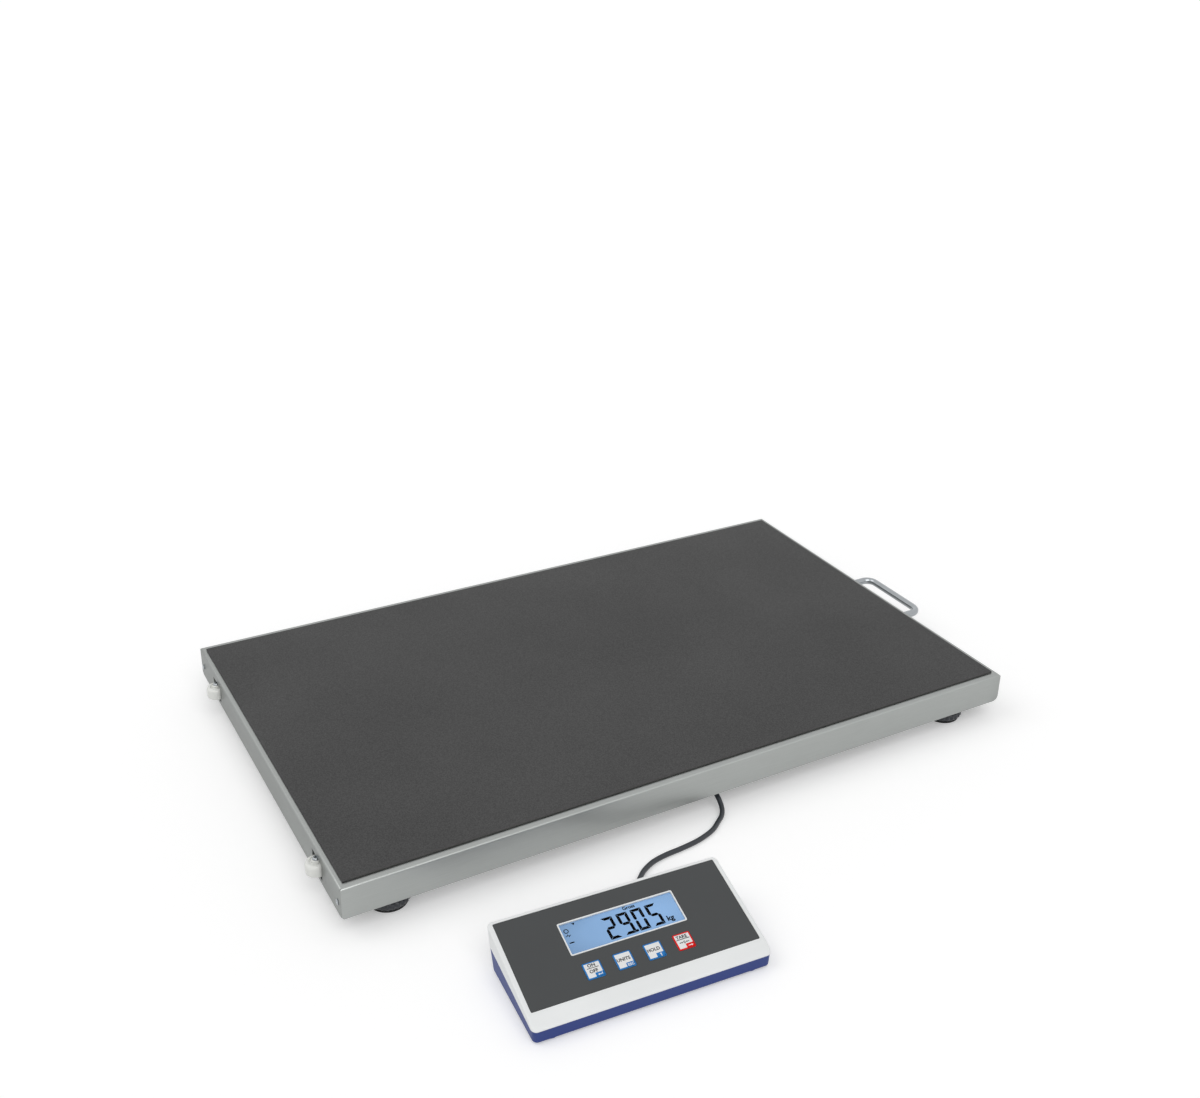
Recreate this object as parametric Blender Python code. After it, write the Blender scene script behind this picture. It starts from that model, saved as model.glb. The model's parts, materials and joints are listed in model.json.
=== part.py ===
"""Low livestock platform scale with a separate display unit on a cable.

The platform is a folded stainless tray with a rubber mat on top. Rails under its long
sides hold four bending-beam load cells, each on a levelling foot. Rollers in the left end
and a handle on the right end let one person stand it up and move it. The display unit
lies on the floor in front. Metres, +Z up, long side along X, handle at +X.
"""

import math

import bmesh
import bpy
import numpy as np
from mathutils import Matrix, Vector

# Running gap kept between pieces that touch, and the play of pins in their holes
GAP = 0.0003
PIN_PLAY = 0.0003

# How far a joined shape is sunk into its carrier, and how far a cut runs past a face
JOINED_SINK = 0.001
CUT_PAST = 0.002

# Number of sides of round pieces: those in plain view, fittings, screws
ROUND = 16
FITTING_ROUND = 12
SCREW_ROUND = 8

# Weighing plate, a tray folded from sheet, and its mat
PLATE_LENGTH = 0.900
PLATE_WIDTH = 0.550
PLATE_TOP = 0.063
SHEET = 0.0015
BEND_RADIUS = 0.003
APRON_HEIGHT = 0.0385
APRON_CORNER_LEFT = 0.003
APRON_CORNER_RIGHT = 0.008
FOLD_GAP = 0.0005
MAT_THICKNESS = 0.0022
MAT_RIM_ENDS = 0.0055
MAT_RIM_SIDES = 0.0095
MAT_CORNER = 0.001

# Channels under the plate
RAIL_INSET = 0.035
RAIL_WIDTH = 0.040
RAIL_HEIGHT = 0.025
RAIL_WALL = 0.002
RAIL_BEND = 0.003
RAIL_END_GAP = 0.020
CROSSBAR_PLACES = (0.130, 0.295)
CROSSBAR_WIDTH = 0.040
CROSSBAR_HEIGHT = 0.018
CROSSBAR_WALL = 0.0015
CROSSBAR_BEND = 0.0025
LEAD_HOLE_RADIUS = 0.005
LEAD_HOLE_X = 0.075

# Load cells, their spacers and bolts
FOOT_INSET = 0.062
CELL_LENGTH = 0.110
CELL_WIDTH = 0.026
CELL_HEIGHT = 0.022
CELL_TIP = 0.012
CELL_BEND_HOLE_RADIUS = 0.006
CELL_BEND_HOLE_SPAN = 0.024
CELL_WEB_SLOT = 0.003
CELL_BOLT_PLACES = (0.074, 0.096)
CELL_BOLT_RADIUS = 0.004
CELL_BOLT_HEAD_RADIUS = 0.0065
CELL_BOLT_HEAD_HEIGHT = 0.006
PAD_HEIGHT_OVER_CELL = 0.004
PAD_LENGTH = 0.042

# Levelling feet, with the side of the plate that each is on
CORNERS = (
    ("front_left", -1, -1),
    ("front_right", 1, -1),
    ("back_left", -1, 1),
    ("back_right", 1, 1),
)
FOOT_RADIUS = 0.025
FOOT_FLUTES = 24
FOOT_FLUTE_DEPTH = 0.0009
FOOT_RIM_HEIGHT = 0.010
FOOT_CHAMFER = 0.0015
FOOT_HUB_RADIUS = 0.0125
FOOT_NECK_RADIUS = 0.009
STUD_RADIUS = 0.005
STUD_IN_CELL = 0.016
STUD_CHAMFER = 0.001
SOLE_RADIUS = 0.0215
SOLE_HEIGHT = 0.003
SOLE_CHAMFER = 0.001
SOLE_PIN_RADIUS = 0.004
SOLE_PIN_HEIGHT = 0.005
LOCK_NUT_FLATS = 0.017
LOCK_NUT_HEIGHT = 0.005

# Rollers in the left end wall
ROLLER_FROM_SIDE = 0.077
ROLLER_AXIS_OUT = 0.0005
ROLLER_RADIUS = 0.0125
ROLLER_DROP = 0.0305
ROLLER_WIDTH = 0.012
ROLLER_EDGE = 0.002
ROLLER_HUB_RADIUS = 0.005
ROLLER_HUB_RISE = 0.002
ROLLER_DISH = 0.0015
ROLLER_DISH_RADIUS = 0.0085
ROLLER_PIN_RADIUS = 0.0025
ROLLER_SCREW_HEAD_RADIUS = 0.004
ROLLER_SCREW_HEAD_HEIGHT = 0.0022
ROLLER_SCREW_CHAMFER = 0.001
ROLLER_SCREW_CROWN_RADIUS = 0.0024
ROLLER_ROUND = 22
ROLLER_SLOT_SIDE = 0.003
ROLLER_SLOT_UNDER = 0.0025
ROLLER_SLOT_OVER = 0.0065
ROLLER_EAR_HALF_WIDTH = 0.008
ROLLER_EAR_THICKNESS = 0.0015
ROLLER_BRACKET_SIDE = 0.0105
ROLLER_BRACKET_RAISE = 0.002
ROLLER_BRACKET_DROP = 0.006
ROLLER_SHELF_DEPTH = 0.018

# Corner angles and their rivets
CORNER_LEG = 0.022
CORNER_RAISE = 0.0035
CORNER_DROP = 0.007
RIVET_FROM_SIDE = 0.011
RIVET_DROP = 0.023
RIVET_RADIUS = 0.002
RIVET_HEAD_RADIUS = 0.0036
RIVET_HEAD_HEIGHT = 0.0014
RIVET_HEAD_EDGE = 0.0004
RIVET_CROWN_RADIUS = 0.0022
RIVET_CROWN_RISE = 0.0013
RIVET_TAIL_RADIUS = 0.0028
RIVET_TAIL_HEIGHT = 0.0015
RIVET_TAIL_CHAMFER = 0.0004

# Carrying handle, a bent rod
HANDLE_ROD_RADIUS = 0.005
HANDLE_REACH = 0.050
HANDLE_HALF_WIDTH = 0.057
HANDLE_BEND = 0.014
HANDLE_DROP = 0.023
HANDLE_SCREW_RADIUS = 0.003
HANDLE_SCREW_DEPTH = 0.014
HANDLE_WASHER_RADIUS = 0.008
HANDLE_WASHER = 0.0015
HANDLE_HEAD_RADIUS = 0.005
HANDLE_HEAD_HEIGHT = 0.004

# Junction box under the plate and the leads to it
BOX_X = 0.012
BOX_FROM_EDGE = 0.110
BOX_LENGTH = 0.100
BOX_DEPTH = 0.056
BOX_HEIGHT = 0.024
BOX_WALL = 0.0025
BOX_CORNER = 0.004
BOX_LID_THICKNESS = 0.003
BOX_SCREW_INSET = 0.006
BOX_SCREW_RADIUS = 0.0015
BOX_SCREW_LENGTH = 0.010
BOX_SCREW_HEAD_RADIUS = 0.0028
BOX_SCREW_CROWN_RADIUS = 0.0022
BOX_SCREW_RISE = 0.0012
BOX_SCREW_EDGE = 0.0004
LEAD_RADIUS = 0.002
LEAD_DROP = 0.010
LEAD_BEND = 0.010
CABLE_RADIUS = 0.003
CABLE_POINT_SPACING = 0.0135
CABLE_X = 0.012
CABLE_CLIP_BORE_DROP = 0.0047
CABLE_CLIP_HALF_WIDTH = 0.0075
CABLE_CLIP_LENGTH = 0.012
CABLE_CLIP_SHIFT = 0.001
CABLE_CLIP_DROP = 0.0097
CABLE_CLIP_RAISE = 0.0078

# Display unit: place on the floor, housing, sloping panel
DISPLAY_X = -0.2096
DISPLAY_AHEAD = 0.1729
DISPLAY_YAW = math.radians(-4.3)
HOUSING_WIDTH = 0.261
HOUSING_DEPTH = 0.125
HOUSING_CORNER = 0.006
HOUSING_WALL = 0.0022
HOUSING_EDGE = 0.0016
PANEL_CENTRE_Z = 0.0358
PANEL_TILT = math.radians(12.9)
FRONT_BAND_DEPTH = 0.0145
FRONT_BAND_SLOPE = math.tan(math.radians(25.0))
PARTING_CENTRE_Z = 0.0225
PARTING_SLOPE = 0.106
PARTING_BACK_INSET = 0.0055
BASE_BOTTOM = 0.0025
BASE_BACK_INSET = 0.0115
BASE_SIDE_INSET = 0.001
BASE_REVEAL = 0.0004
BASE_EDGE = 0.0014
BUMP_RADIUS = 0.0085
BUMP_TIP_RADIUS = 0.007
BUMP_TAPER = 0.0015
BUMP_FROM_SIDE = 0.0215
BUMP_FROM_FRONT = 0.010
BUMP_FROM_BACK = 0.0245
COVER_BOSS_RADIUS = 0.0036
COVER_BOSS_DROP = 0.0015
BASE_BOSS_RADIUS = 0.0046
SCREW_RADIUS = 0.0014
SCREW_HEAD_RADIUS = 0.0027
SCREW_HEAD_HEIGHT = 0.0022
SCREW_SEAT = 0.0065
SCREW_GRIP = 0.003

# Things on the panel, measured along its slope from the housing's centre. Those named as a
# share are fractions of the housing's half width
FOIL_SIDE_MARGIN = 0.0055
FOIL_FRONT_MARGIN = 0.0027
FOIL_BACK_MARGIN = 0.0042
FOIL_THICKNESS = 0.0008
FOIL_CORNER = 0.0012
WINDOW_SHARE = 0.4904
WINDOW_FRONT = -0.001
WINDOW_BACK = 0.0385
PANE_THICKNESS = 0.001
PANE_DEPTH = 0.0004
RIM_WIDTH = 0.0012
LCD_MARGIN = 0.002
LCD_THICKNESS = 0.005
LCD_FOOT = 0.002
KEY_SIZE = 0.019
KEY_CORNER = 0.0015
KEY_PITCH_SHARE = 0.2544
KEY_FIRST_SHARE = -0.3839
KEY_Y = -0.0233
KEY_RISE = 0.0004
KEY_TRAVEL = 0.0005
KEY_CHAMFER = 0.0002
KEY_LIP = 0.001
KEY_LIP_THICKNESS = 0.0008
KEY_STEM_RADIUS = 0.002
KEY_NAMES = ("power", "unit", "hold", "zero")
BOARD_DEPTH = 0.0104
BOARD_THICKNESS = 0.0016
BOARD_SIDE_MARGIN = 0.0345
BOARD_FRONT = -0.036
BOARD_BACK = 0.050
SWITCH_SIZE = 0.006
SWITCH_HEIGHT = 0.0036
POST_RADIUS = 0.003
POST_SPIGOT_RADIUS = 0.0012
POST_FROM_BOARD_END = 0.008
POST_FRONT = -0.030
POST_BACK = 0.044

# Battery compartment in the base
CELL_COUNT = 6
AA_RADIUS = 0.00725
AA_LENGTH = 0.0505
AA_PITCH = 0.0147
POCKET_FRONT = -0.007
POCKET_LENGTH = 0.053
POCKET_WALL = 0.0012
HATCH_MARGIN = 0.003
HATCH_THICKNESS = 0.0021
HATCH_BACK = 0.0495
TONGUE = 0.0011
TONGUE_THICKNESS = 0.0007
RUNNER_WALL = 0.0015
GRIP_RIDGES = 4
GRIP_RIDGE = 0.0012

# Fittings in the back of the base
REAR_FITTING_Z = 0.014
SOCKET_X = -0.080
SOCKET_RADIUS = 0.0058
SOCKET_FLANGE_RADIUS = 0.0072
SOCKET_FLANGE = 0.0012
SOCKET_BORE = 0.0032
SOCKET_PIN = 0.001
SOCKET_DEPTH = 0.011
BOOT_X = 0.056
BOOT_ROOT_RADIUS = 0.0058
BOOT_TIP_RADIUS = 0.0042
BOOT_LENGTH = 0.016
BOOT_COLLAR = 0.003
BOOT_SHANK_RADIUS = 0.0042
BOOT_SHANK_LENGTH = 0.0035

# Free cable: points of its way from the clip to the display, over the floor. The depth is
# counted from the plate's front edge, the rest from the plate's middle and the floor
CABLE_ROUTE = (
    (0.0123, 0.0330, 0.0292),
    (0.0128, 0.0240, 0.0250),
    (0.0134, 0.0155, 0.0196),
    (0.0138, 0.0075, 0.0146),
    (0.0132, -0.0005, 0.0101),
    (0.0105, -0.0085, 0.0066),
    (0.0055, -0.0150, 0.0043),
    (-0.0028, -0.0212, 0.0033),
    (-0.0187, -0.0320, 0.0031),
    (-0.0414, -0.0396, 0.0031),
    (-0.0656, -0.0430, 0.0031),
    (-0.0889, -0.0446, 0.0031),
    (-0.1078, -0.0484, 0.0031),
    (-0.1234, -0.0560, 0.0031),
    (-0.1325, -0.0635, 0.0031),
    (-0.1405, -0.0715, 0.0031),
    (-0.1463, -0.0800, 0.0037),
    (-0.1488, -0.0880, 0.0052),
    (-0.1494, -0.0955, 0.0072),
)
CABLE_END_RUN = 0.006

# Heights and places that follow from the sizes above
PLATE_UNDERSIDE = PLATE_TOP - SHEET
RAIL_TOP = PLATE_UNDERSIDE - GAP
RAIL_Y = PLATE_WIDTH / 2 - RAIL_INSET
RAIL_BOTTOM = RAIL_TOP - RAIL_HEIGHT
PAD_TOP = RAIL_TOP - RAIL_WALL - GAP
CELL_TOP = PAD_TOP - PAD_HEIGHT_OVER_CELL
CELL_BOTTOM = CELL_TOP - CELL_HEIGHT
FOOT_X = PLATE_LENGTH / 2 - FOOT_INSET
NUT_BOTTOM = CELL_BOTTOM - LOCK_NUT_HEIGHT
WHEEL_BOTTOM = SOLE_HEIGHT + GAP
APRON_BOTTOM = PLATE_TOP - APRON_HEIGHT
BOX_FRONT = BOX_FROM_EDGE - PLATE_WIDTH / 2
ROLLER_Y = PLATE_WIDTH / 2 - ROLLER_FROM_SIDE
ROLLER_BOTTOM = PLATE_TOP - ROLLER_DROP
ROLLER_SLOT_HALF_WIDTH = ROLLER_RADIUS + ROLLER_SLOT_SIDE
ROLLER_SLOT_BOTTOM = ROLLER_BOTTOM - ROLLER_SLOT_UNDER
ROLLER_SLOT_TOP = ROLLER_BOTTOM + ROLLER_WIDTH + ROLLER_SLOT_OVER
ROLLER_BRACKET_HALF_WIDTH = ROLLER_SLOT_HALF_WIDTH + ROLLER_BRACKET_SIDE
ROLLER_BRACKET_BOTTOM = APRON_BOTTOM + ROLLER_BRACKET_RAISE
ROLLER_BRACKET_TOP = PLATE_TOP - ROLLER_BRACKET_DROP
CORNER_BOTTOM = APRON_BOTTOM + CORNER_RAISE
CORNER_TOP = PLATE_TOP - CORNER_DROP
RIVET_HEIGHT = PLATE_TOP - RIVET_DROP
HANDLE_HEIGHT = PLATE_TOP - HANDLE_DROP
LEAD_HEIGHT = PLATE_TOP - LEAD_DROP
CABLE_CLIP_BORE_Z = RAIL_BOTTOM - CABLE_CLIP_BORE_DROP
CABLE_CLIP_BOTTOM = RAIL_BOTTOM - CABLE_CLIP_DROP
CABLE_CLIP_TOP = RAIL_BOTTOM + CABLE_CLIP_RAISE
WHEEL_TOP = WHEEL_BOTTOM + FOOT_RIM_HEIGHT
HUB_TOP = NUT_BOTTOM - GAP
WALL_INSIDE = PLATE_LENGTH / 2 - SHEET
ROLLER_X = -(PLATE_LENGTH / 2 + ROLLER_AXIS_OUT)
HOUSING_HALF = HOUSING_WIDTH / 2
HOUSING_FRONT = -HOUSING_DEPTH / 2
HOUSING_BACK = HOUSING_DEPTH / 2
PANEL_SLOPE = math.tan(PANEL_TILT)
CREASE_Y = HOUSING_FRONT + FRONT_BAND_DEPTH
FOIL_HALF_WIDTH = HOUSING_HALF - FOIL_SIDE_MARGIN
FOIL_FRONT = CREASE_Y / math.cos(PANEL_TILT) + FOIL_FRONT_MARGIN
FOIL_BACK = HOUSING_BACK / math.cos(PANEL_TILT) - FOIL_BACK_MARGIN
WINDOW_HALF_WIDTH = WINDOW_SHARE * HOUSING_HALF
KEY_PITCH = KEY_PITCH_SHARE * HOUSING_HALF
KEY_FIRST_X = KEY_FIRST_SHARE * HOUSING_HALF
BOARD_HALF_WIDTH = HOUSING_HALF - BOARD_SIDE_MARGIN
POST_X = BOARD_HALF_WIDTH - POST_FROM_BOARD_END
DISPLAY_Y = -(PLATE_WIDTH / 2 + DISPLAY_AHEAD)
COVER_SKIN = HOUSING_WALL * math.cos(PANEL_TILT)
RECESS_DEPTH = FOIL_THICKNESS + GAP
LCD_TOP = -(COVER_SKIN + GAP)
BASE_FLOOR = BASE_BOTTOM + HOUSING_WALL
HATCH_TOP = BASE_BOTTOM + HATCH_THICKNESS
HATCH_ROOF = HATCH_TOP + GAP
HATCH_FRONT = POCKET_FRONT - HATCH_MARGIN
POCKET_HALF = CELL_COUNT * AA_PITCH / 2 + GAP
POCKET_BACK = POCKET_FRONT + POCKET_LENGTH
POCKET_ROOF = HATCH_ROOF + 2 * AA_RADIUS + GAP
HATCH_HALF = POCKET_HALF + HATCH_MARGIN
SCREW_X = HOUSING_HALF - BUMP_FROM_SIDE
SCREW_DEPTHS = (HOUSING_FRONT + BUMP_FROM_FRONT, HOUSING_BACK - BUMP_FROM_BACK)
SCREW_PLACES = tuple((x, y) for x in (-SCREW_X, SCREW_X) for y in SCREW_DEPTHS)


# Shapes

def finished(bm, name):
    """Turn a bmesh into a mesh with outward normals and smooth shading on round faces."""
    bmesh.ops.recalc_face_normals(bm, faces=bm.faces)
    mesh = bpy.data.meshes.new(name)
    bm.to_mesh(mesh)
    bm.free()
    mesh.shade_smooth()
    mesh.set_sharp_from_angle(angle=math.radians(35))
    return mesh


def add_box(bm, low, high):
    """Add an axis-aligned box between two corners."""
    size = [b - a for a, b in zip(low, high)]
    middle = [(a + b) / 2 for a, b in zip(low, high)]
    place = Matrix.Translation(middle) @ Matrix.Diagonal((*size, 1))
    bmesh.ops.create_cube(bm, size=1, matrix=place)


def add_walls(bm, loops):
    """Join loops of equal length, in order, with faces."""
    count = len(loops[0])
    for lower, upper in zip(loops, loops[1:]):
        for i in range(count):
            j = (i + 1) % count
            bm.faces.new((lower[i], lower[j], upper[j], upper[i]))


def add_loft(bm, rings):
    """Skin rings of equal length, in order, and close both ends with a face."""
    loops = [[bm.verts.new(point) for point in ring] for ring in rings]
    add_walls(bm, loops)
    bm.faces.new(reversed(loops[0]))
    bm.faces.new(loops[-1])


def add_turned(bm, profile, steps, place=None):
    """Turn a profile of (radius, height) points that starts and ends on the Z axis."""
    place = place or Matrix.Identity(4)
    angles = [2 * math.pi * k / steps for k in range(steps)]
    rings = []
    for radius, height in profile:
        if radius == 0:
            rings.append([bm.verts.new(place @ Vector((0, 0, height)))] * steps)
        else:
            around = [(radius * math.cos(a), radius * math.sin(a), height) for a in angles]
            rings.append([bm.verts.new(place @ Vector(point)) for point in around])
    for lower, upper in zip(rings, rings[1:]):
        for i in range(steps):
            j = (i + 1) % steps
            corners = [lower[i], lower[j], upper[j], upper[i]]
            bm.faces.new(list(dict.fromkeys(corners)))


def add_ring(bm, profile, steps, place=None):
    """Turn a closed profile of (radius, height) points that stays clear of the Z axis."""
    place = place or Matrix.Identity(4)
    loops = []
    for k in range(steps):
        angle = 2 * math.pi * k / steps
        across, along = math.cos(angle), math.sin(angle)
        section = [(r * across, r * along, z) for r, z in profile]
        loops.append([bm.verts.new(place @ Vector(point)) for point in section])
    count = len(profile)
    for k in range(steps):
        here, there = loops[k], loops[(k + 1) % steps]
        for i in range(count):
            j = (i + 1) % count
            bm.faces.new((here[i], here[j], there[j], there[i]))


def add_post(bm, x, y, radius, low, high, steps=10):
    """Upright round post whose two ends follow heights given as functions of depth."""
    angles = [2 * math.pi * k / steps for k in range(steps)]
    ring = [(x + radius * math.cos(a), y + radius * math.sin(a)) for a in angles]
    add_loft(bm, [[(px, py, height(py)) for px, py in ring] for height in (low, high)])


def cylinder_profile(radius, low, high):
    return [(0, low), (radius, low), (radius, high), (0, high)]


def add_prism(bm, outline, low, high, axis="Z"):
    """Extrude an outline of (a, b) points along an axis, between low and high."""
    turn = {
        "Z": lambda a, b, c: (a, b, c),
        "X": lambda a, b, c: (c, a, b),
        "Y": lambda a, b, c: (a, c, b),
    }[axis]
    add_loft(bm, [[turn(a, b, c) for a, b in outline] for c in (low, high)])


def arc(centre, radius, start, end, steps):
    """Points on an arc, both ends included, angles in degrees."""
    angles = [math.radians(start + (end - start) * k / steps) for k in range(steps + 1)]
    return [(centre[0] + radius * math.cos(a), centre[1] + radius * math.sin(a)) for a in angles]


def rounded_outline(left, right, front, back, radius, steps=3, side_stops=()):
    """Rounded rectangle, anticlockwise, with extra points on both sides at given depths."""
    corners = (
        (right - radius, front + radius, -90),
        (right - radius, back - radius, 0),
        (left + radius, back - radius, 90),
        (left + radius, front + radius, 180),
    )
    sides = ([(right, y) for y in side_stops], [(left, y) for y in reversed(side_stops)])
    points = []
    for k, (x, y, start) in enumerate(corners):
        points += arc((x, y), radius, start, start + 90, steps)
        if k == 0:
            points += sides[0]
        if k == 2:
            points += sides[1]
    return points


def channel_outline(width, height, wall, bend, top):
    """Section of a folded channel that opens downwards: (across, height) points."""
    outer, inner = width / 2, width / 2 - wall
    low, roof = top - height, top - wall
    points = [(-outer, low), (-inner, low)]
    points += [(-inner, roof), (inner, roof)]
    points += [(inner, low), (outer, low)]
    points += arc((outer - bend, top - bend), bend, 0, 90, 2)
    points += arc((-outer + bend, top - bend), bend, 90, 180, 2)
    return points


def smooth_route(points, spacing):
    """Even points along a Catmull-Rom curve through the route's own points."""
    route = np.array(points, float)
    padded = np.vstack([2 * route[0] - route[1], route, 2 * route[-1] - route[-2]])
    t = np.linspace(0, 1, 24, endpoint=False)[:, None]
    parts = []
    for a, b, c, d in zip(padded, padded[1:], padded[2:], padded[3:]):
        bend = (2 * a - 5 * b + 4 * c - d) * t**2 + (3 * b - a - 3 * c + d) * t**3
        parts.append(0.5 * (2 * b + (c - a) * t + bend))
    fine = np.vstack([*parts, route[-1:]])
    along = np.concatenate([[0], np.cumsum(np.linalg.norm(np.diff(fine, axis=0), axis=1))])
    stops = np.linspace(0, along[-1], max(3, round(along[-1] / spacing) + 1))
    return np.stack([np.interp(stops, along, fine[:, k]) for k in range(3)], axis=1)


def bent_route(points, reach, steps=3):
    """Straight runs between points, with each corner rounded over a reach on both sides."""
    route = [Vector(points[0])]
    for before, corner, after in zip(points, points[1:], points[2:]):
        at = Vector(corner)
        start = at + (Vector(before) - at).normalized() * reach
        end = at + (Vector(after) - at).normalized() * reach
        for k in range(steps + 1):
            t = k / steps
            route.append(start * (1 - t) ** 2 + at * (2 * t * (1 - t)) + end * t**2)
    return [*route, Vector(points[-1])]


# Objects

def material(name, colour, roughness, metallic=0.0, alpha=1.0):
    """A Principled material, or the one already made under this name."""
    if name in bpy.data.materials:
        return bpy.data.materials[name]
    made = bpy.data.materials.new(name)
    made.use_nodes = True
    shader = made.node_tree.nodes["Principled BSDF"]
    shader.inputs["Base Color"].default_value = (*colour, 1)
    shader.inputs["Roughness"].default_value = roughness
    shader.inputs["Metallic"].default_value = metallic
    shader.inputs["Alpha"].default_value = alpha
    return made


def finishes():
    return {
        "stainless": material("stainless", (0.55, 0.57, 0.57), 0.35, 1.0),
        "polished_steel": material("polished_steel", (0.66, 0.67, 0.68), 0.2, 1.0),
        "zinc_steel": material("zinc_steel", (0.50, 0.51, 0.52), 0.4, 1.0),
        "aluminium": material("aluminium", (0.62, 0.63, 0.65), 0.35, 1.0),
        "mat_rubber": material("mat_rubber", (0.095, 0.095, 0.097), 0.85),
        "foot_nylon": material("foot_nylon", (0.022, 0.024, 0.030), 0.5),
        "sole_rubber": material("sole_rubber", (0.018, 0.018, 0.018), 0.9),
        "roller_nylon": material("roller_nylon", (0.78, 0.78, 0.75), 0.45),
        "cable_jacket": material("cable_jacket", (0.045, 0.055, 0.075), 0.5),
        "box_plastic": material("box_plastic", (0.50, 0.51, 0.52), 0.5),
        "white_plastic": material("white_plastic", (0.82, 0.83, 0.83), 0.4),
        "blue_plastic": material("blue_plastic", (0.030, 0.055, 0.205), 0.4),
        "panel_foil": material("panel_foil", (0.098, 0.102, 0.104), 0.45),
        "key_white": material("key_white", (0.85, 0.86, 0.86), 0.45),
        "key_red": material("key_red", (0.78, 0.02, 0.02), 0.45),
        "window_clear": material("window_clear", (0.9, 0.95, 1.0), 0.05, 0.0, 0.3),
        "lcd_blue": material("lcd_blue", (0.27, 0.47, 0.75), 0.3),
        "board_green": material("board_green", (0.03, 0.16, 0.06), 0.4),
        "battery_sleeve": material("battery_sleeve", (0.10, 0.10, 0.11), 0.35),
        "black_plastic": material("black_plastic", (0.02, 0.02, 0.02), 0.5),
    }


def empty(name, parent=None, place=(0, 0, 0), turn=(0, 0, 0)):
    made = bpy.data.objects.new(name, None)
    bpy.context.scene.collection.objects.link(made)
    made.parent = parent
    made.location = place
    made.rotation_euler = turn
    return made


def piece(name, data, finish, parent, place=(0, 0, 0), turn=(0, 0, 0)):
    """Link one visible object and give it its finish."""
    made = bpy.data.objects.new(name, data)
    bpy.context.scene.collection.objects.link(made)
    made.parent = parent
    made.location = place
    made.rotation_euler = turn
    if finish is not None and not data.materials:
        data.materials.append(finish)
    return made


def shaped_by(target, operation, bm, name, frame=None):
    """Cut or join a hidden shape, in the target's frame or a given one, with a live Boolean."""
    helper = piece(name, finished(bm, name), None, frame or target)
    helper.hide_render = True
    helper.display_type = "WIRE"
    boolean = target.modifiers.new(name, "BOOLEAN")
    boolean.operation = operation
    boolean.solver = "EXACT"
    boolean.object = helper


def tube(name, points, radius, sides, finish, parent):
    """A round tube along points, as a curve with a bevel and filled caps."""
    curve = bpy.data.curves.new(name, "CURVE")
    curve.dimensions = "3D"
    curve.bevel_depth = radius
    curve.bevel_resolution = (sides - 4) // 2
    curve.use_fill_caps = True
    spline = curve.splines.new("POLY")
    spline.points.add(len(points) - 1)
    for point, place in zip(spline.points, points):
        point.co = (*place, 1)
    return piece(name, curve, finish, parent)


# Platform

def weighing_plate(looks, parent):
    """Tray: flat top, four rolled bends and flat aprons, given its sheet thickness."""
    bm = bmesh.new()
    flat_x, flat_y = PLATE_LENGTH / 2 - BEND_RADIUS, PLATE_WIDTH / 2 - BEND_RADIUS
    corners = [(-flat_x, -flat_y), (flat_x, -flat_y), (flat_x, flat_y), (-flat_x, flat_y)]
    top = [bm.verts.new((x, y, PLATE_TOP)) for x, y in corners]
    bm.faces.new(top)
    bend_low = PLATE_TOP - BEND_RADIUS
    apron_low = APRON_BOTTOM
    bend = arc((0, 0), BEND_RADIUS, 90, 0, 4)[1:]
    wall_y = PLATE_WIDTH / 2 - SHEET - FOLD_GAP
    lips = (
        (Vector((0, -1, 0)), PLATE_LENGTH / 2, (APRON_CORNER_LEFT, APRON_CORNER_RIGHT)),
        (Vector((1, 0, 0)), wall_y, (APRON_CORNER_LEFT, APRON_CORNER_LEFT)),
        (Vector((0, 1, 0)), PLATE_LENGTH / 2, (APRON_CORNER_RIGHT, APRON_CORNER_LEFT)),
        (Vector((-1, 0, 0)), wall_y, (APRON_CORNER_LEFT, APRON_CORNER_LEFT)),
    )
    for k, (outward, reach, (first_corner, last_corner)) in enumerate(lips):
        start, end = top[k], top[(k + 1) % 4]
        along = (end.co - start.co).normalized()
        last = (start, end)
        for out, up in bend:
            offset = outward * out + Vector((0, 0, up - BEND_RADIUS))
            row = (bm.verts.new(start.co + offset), bm.verts.new(end.co + offset))
            bm.faces.new((last[0], row[0], row[1], last[1]))
            last = row
        face_at = outward * abs(last[0].co.dot(outward))
        left = arc((-reach + first_corner, apron_low + first_corner), first_corner, 180, 270, 3)
        right = arc((reach - last_corner, apron_low + last_corner), last_corner, 270, 360, 3)
        outline = [(-reach, bend_low), *left, *right, (reach, bend_low)]
        lower = [bm.verts.new(face_at + along * a + Vector((0, 0, z))) for a, z in outline]
        bm.faces.new((last[0], *lower, last[1]))
    tray = piece("weighing_plate", finished(bm, "weighing_plate"), looks["stainless"], parent)
    wall = tray.modifiers.new("sheet", "SOLIDIFY")
    wall.thickness = SHEET
    wall.offset = -1
    wall.use_even_offset = True

    shaped_by(tray, "UNION", corner_angles(), "corner_angles")
    holes = bmesh.new()
    for side in (-1, 1):
        y = side * ROLLER_Y
        low = (-PLATE_LENGTH / 2 - SHEET, y - ROLLER_SLOT_HALF_WIDTH, ROLLER_SLOT_BOTTOM)
        high = (-WALL_INSIDE + SHEET, y + ROLLER_SLOT_HALF_WIDTH, ROLLER_SLOT_TOP)
        add_box(holes, low, high)
    for place in rivet_places():
        bore = cylinder_profile(RIVET_RADIUS + PIN_PLAY, -2 * (SHEET + CUT_PAST), CUT_PAST)
        add_turned(holes, bore, FITTING_ROUND, place)
    for place in handle_roots():
        bore = cylinder_profile(HANDLE_SCREW_RADIUS + PIN_PLAY, -SHEET - CUT_PAST, CUT_PAST)
        add_turned(holes, bore, FITTING_ROUND, place)
    shaped_by(tray, "DIFFERENCE", holes, "plate_holes")


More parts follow.
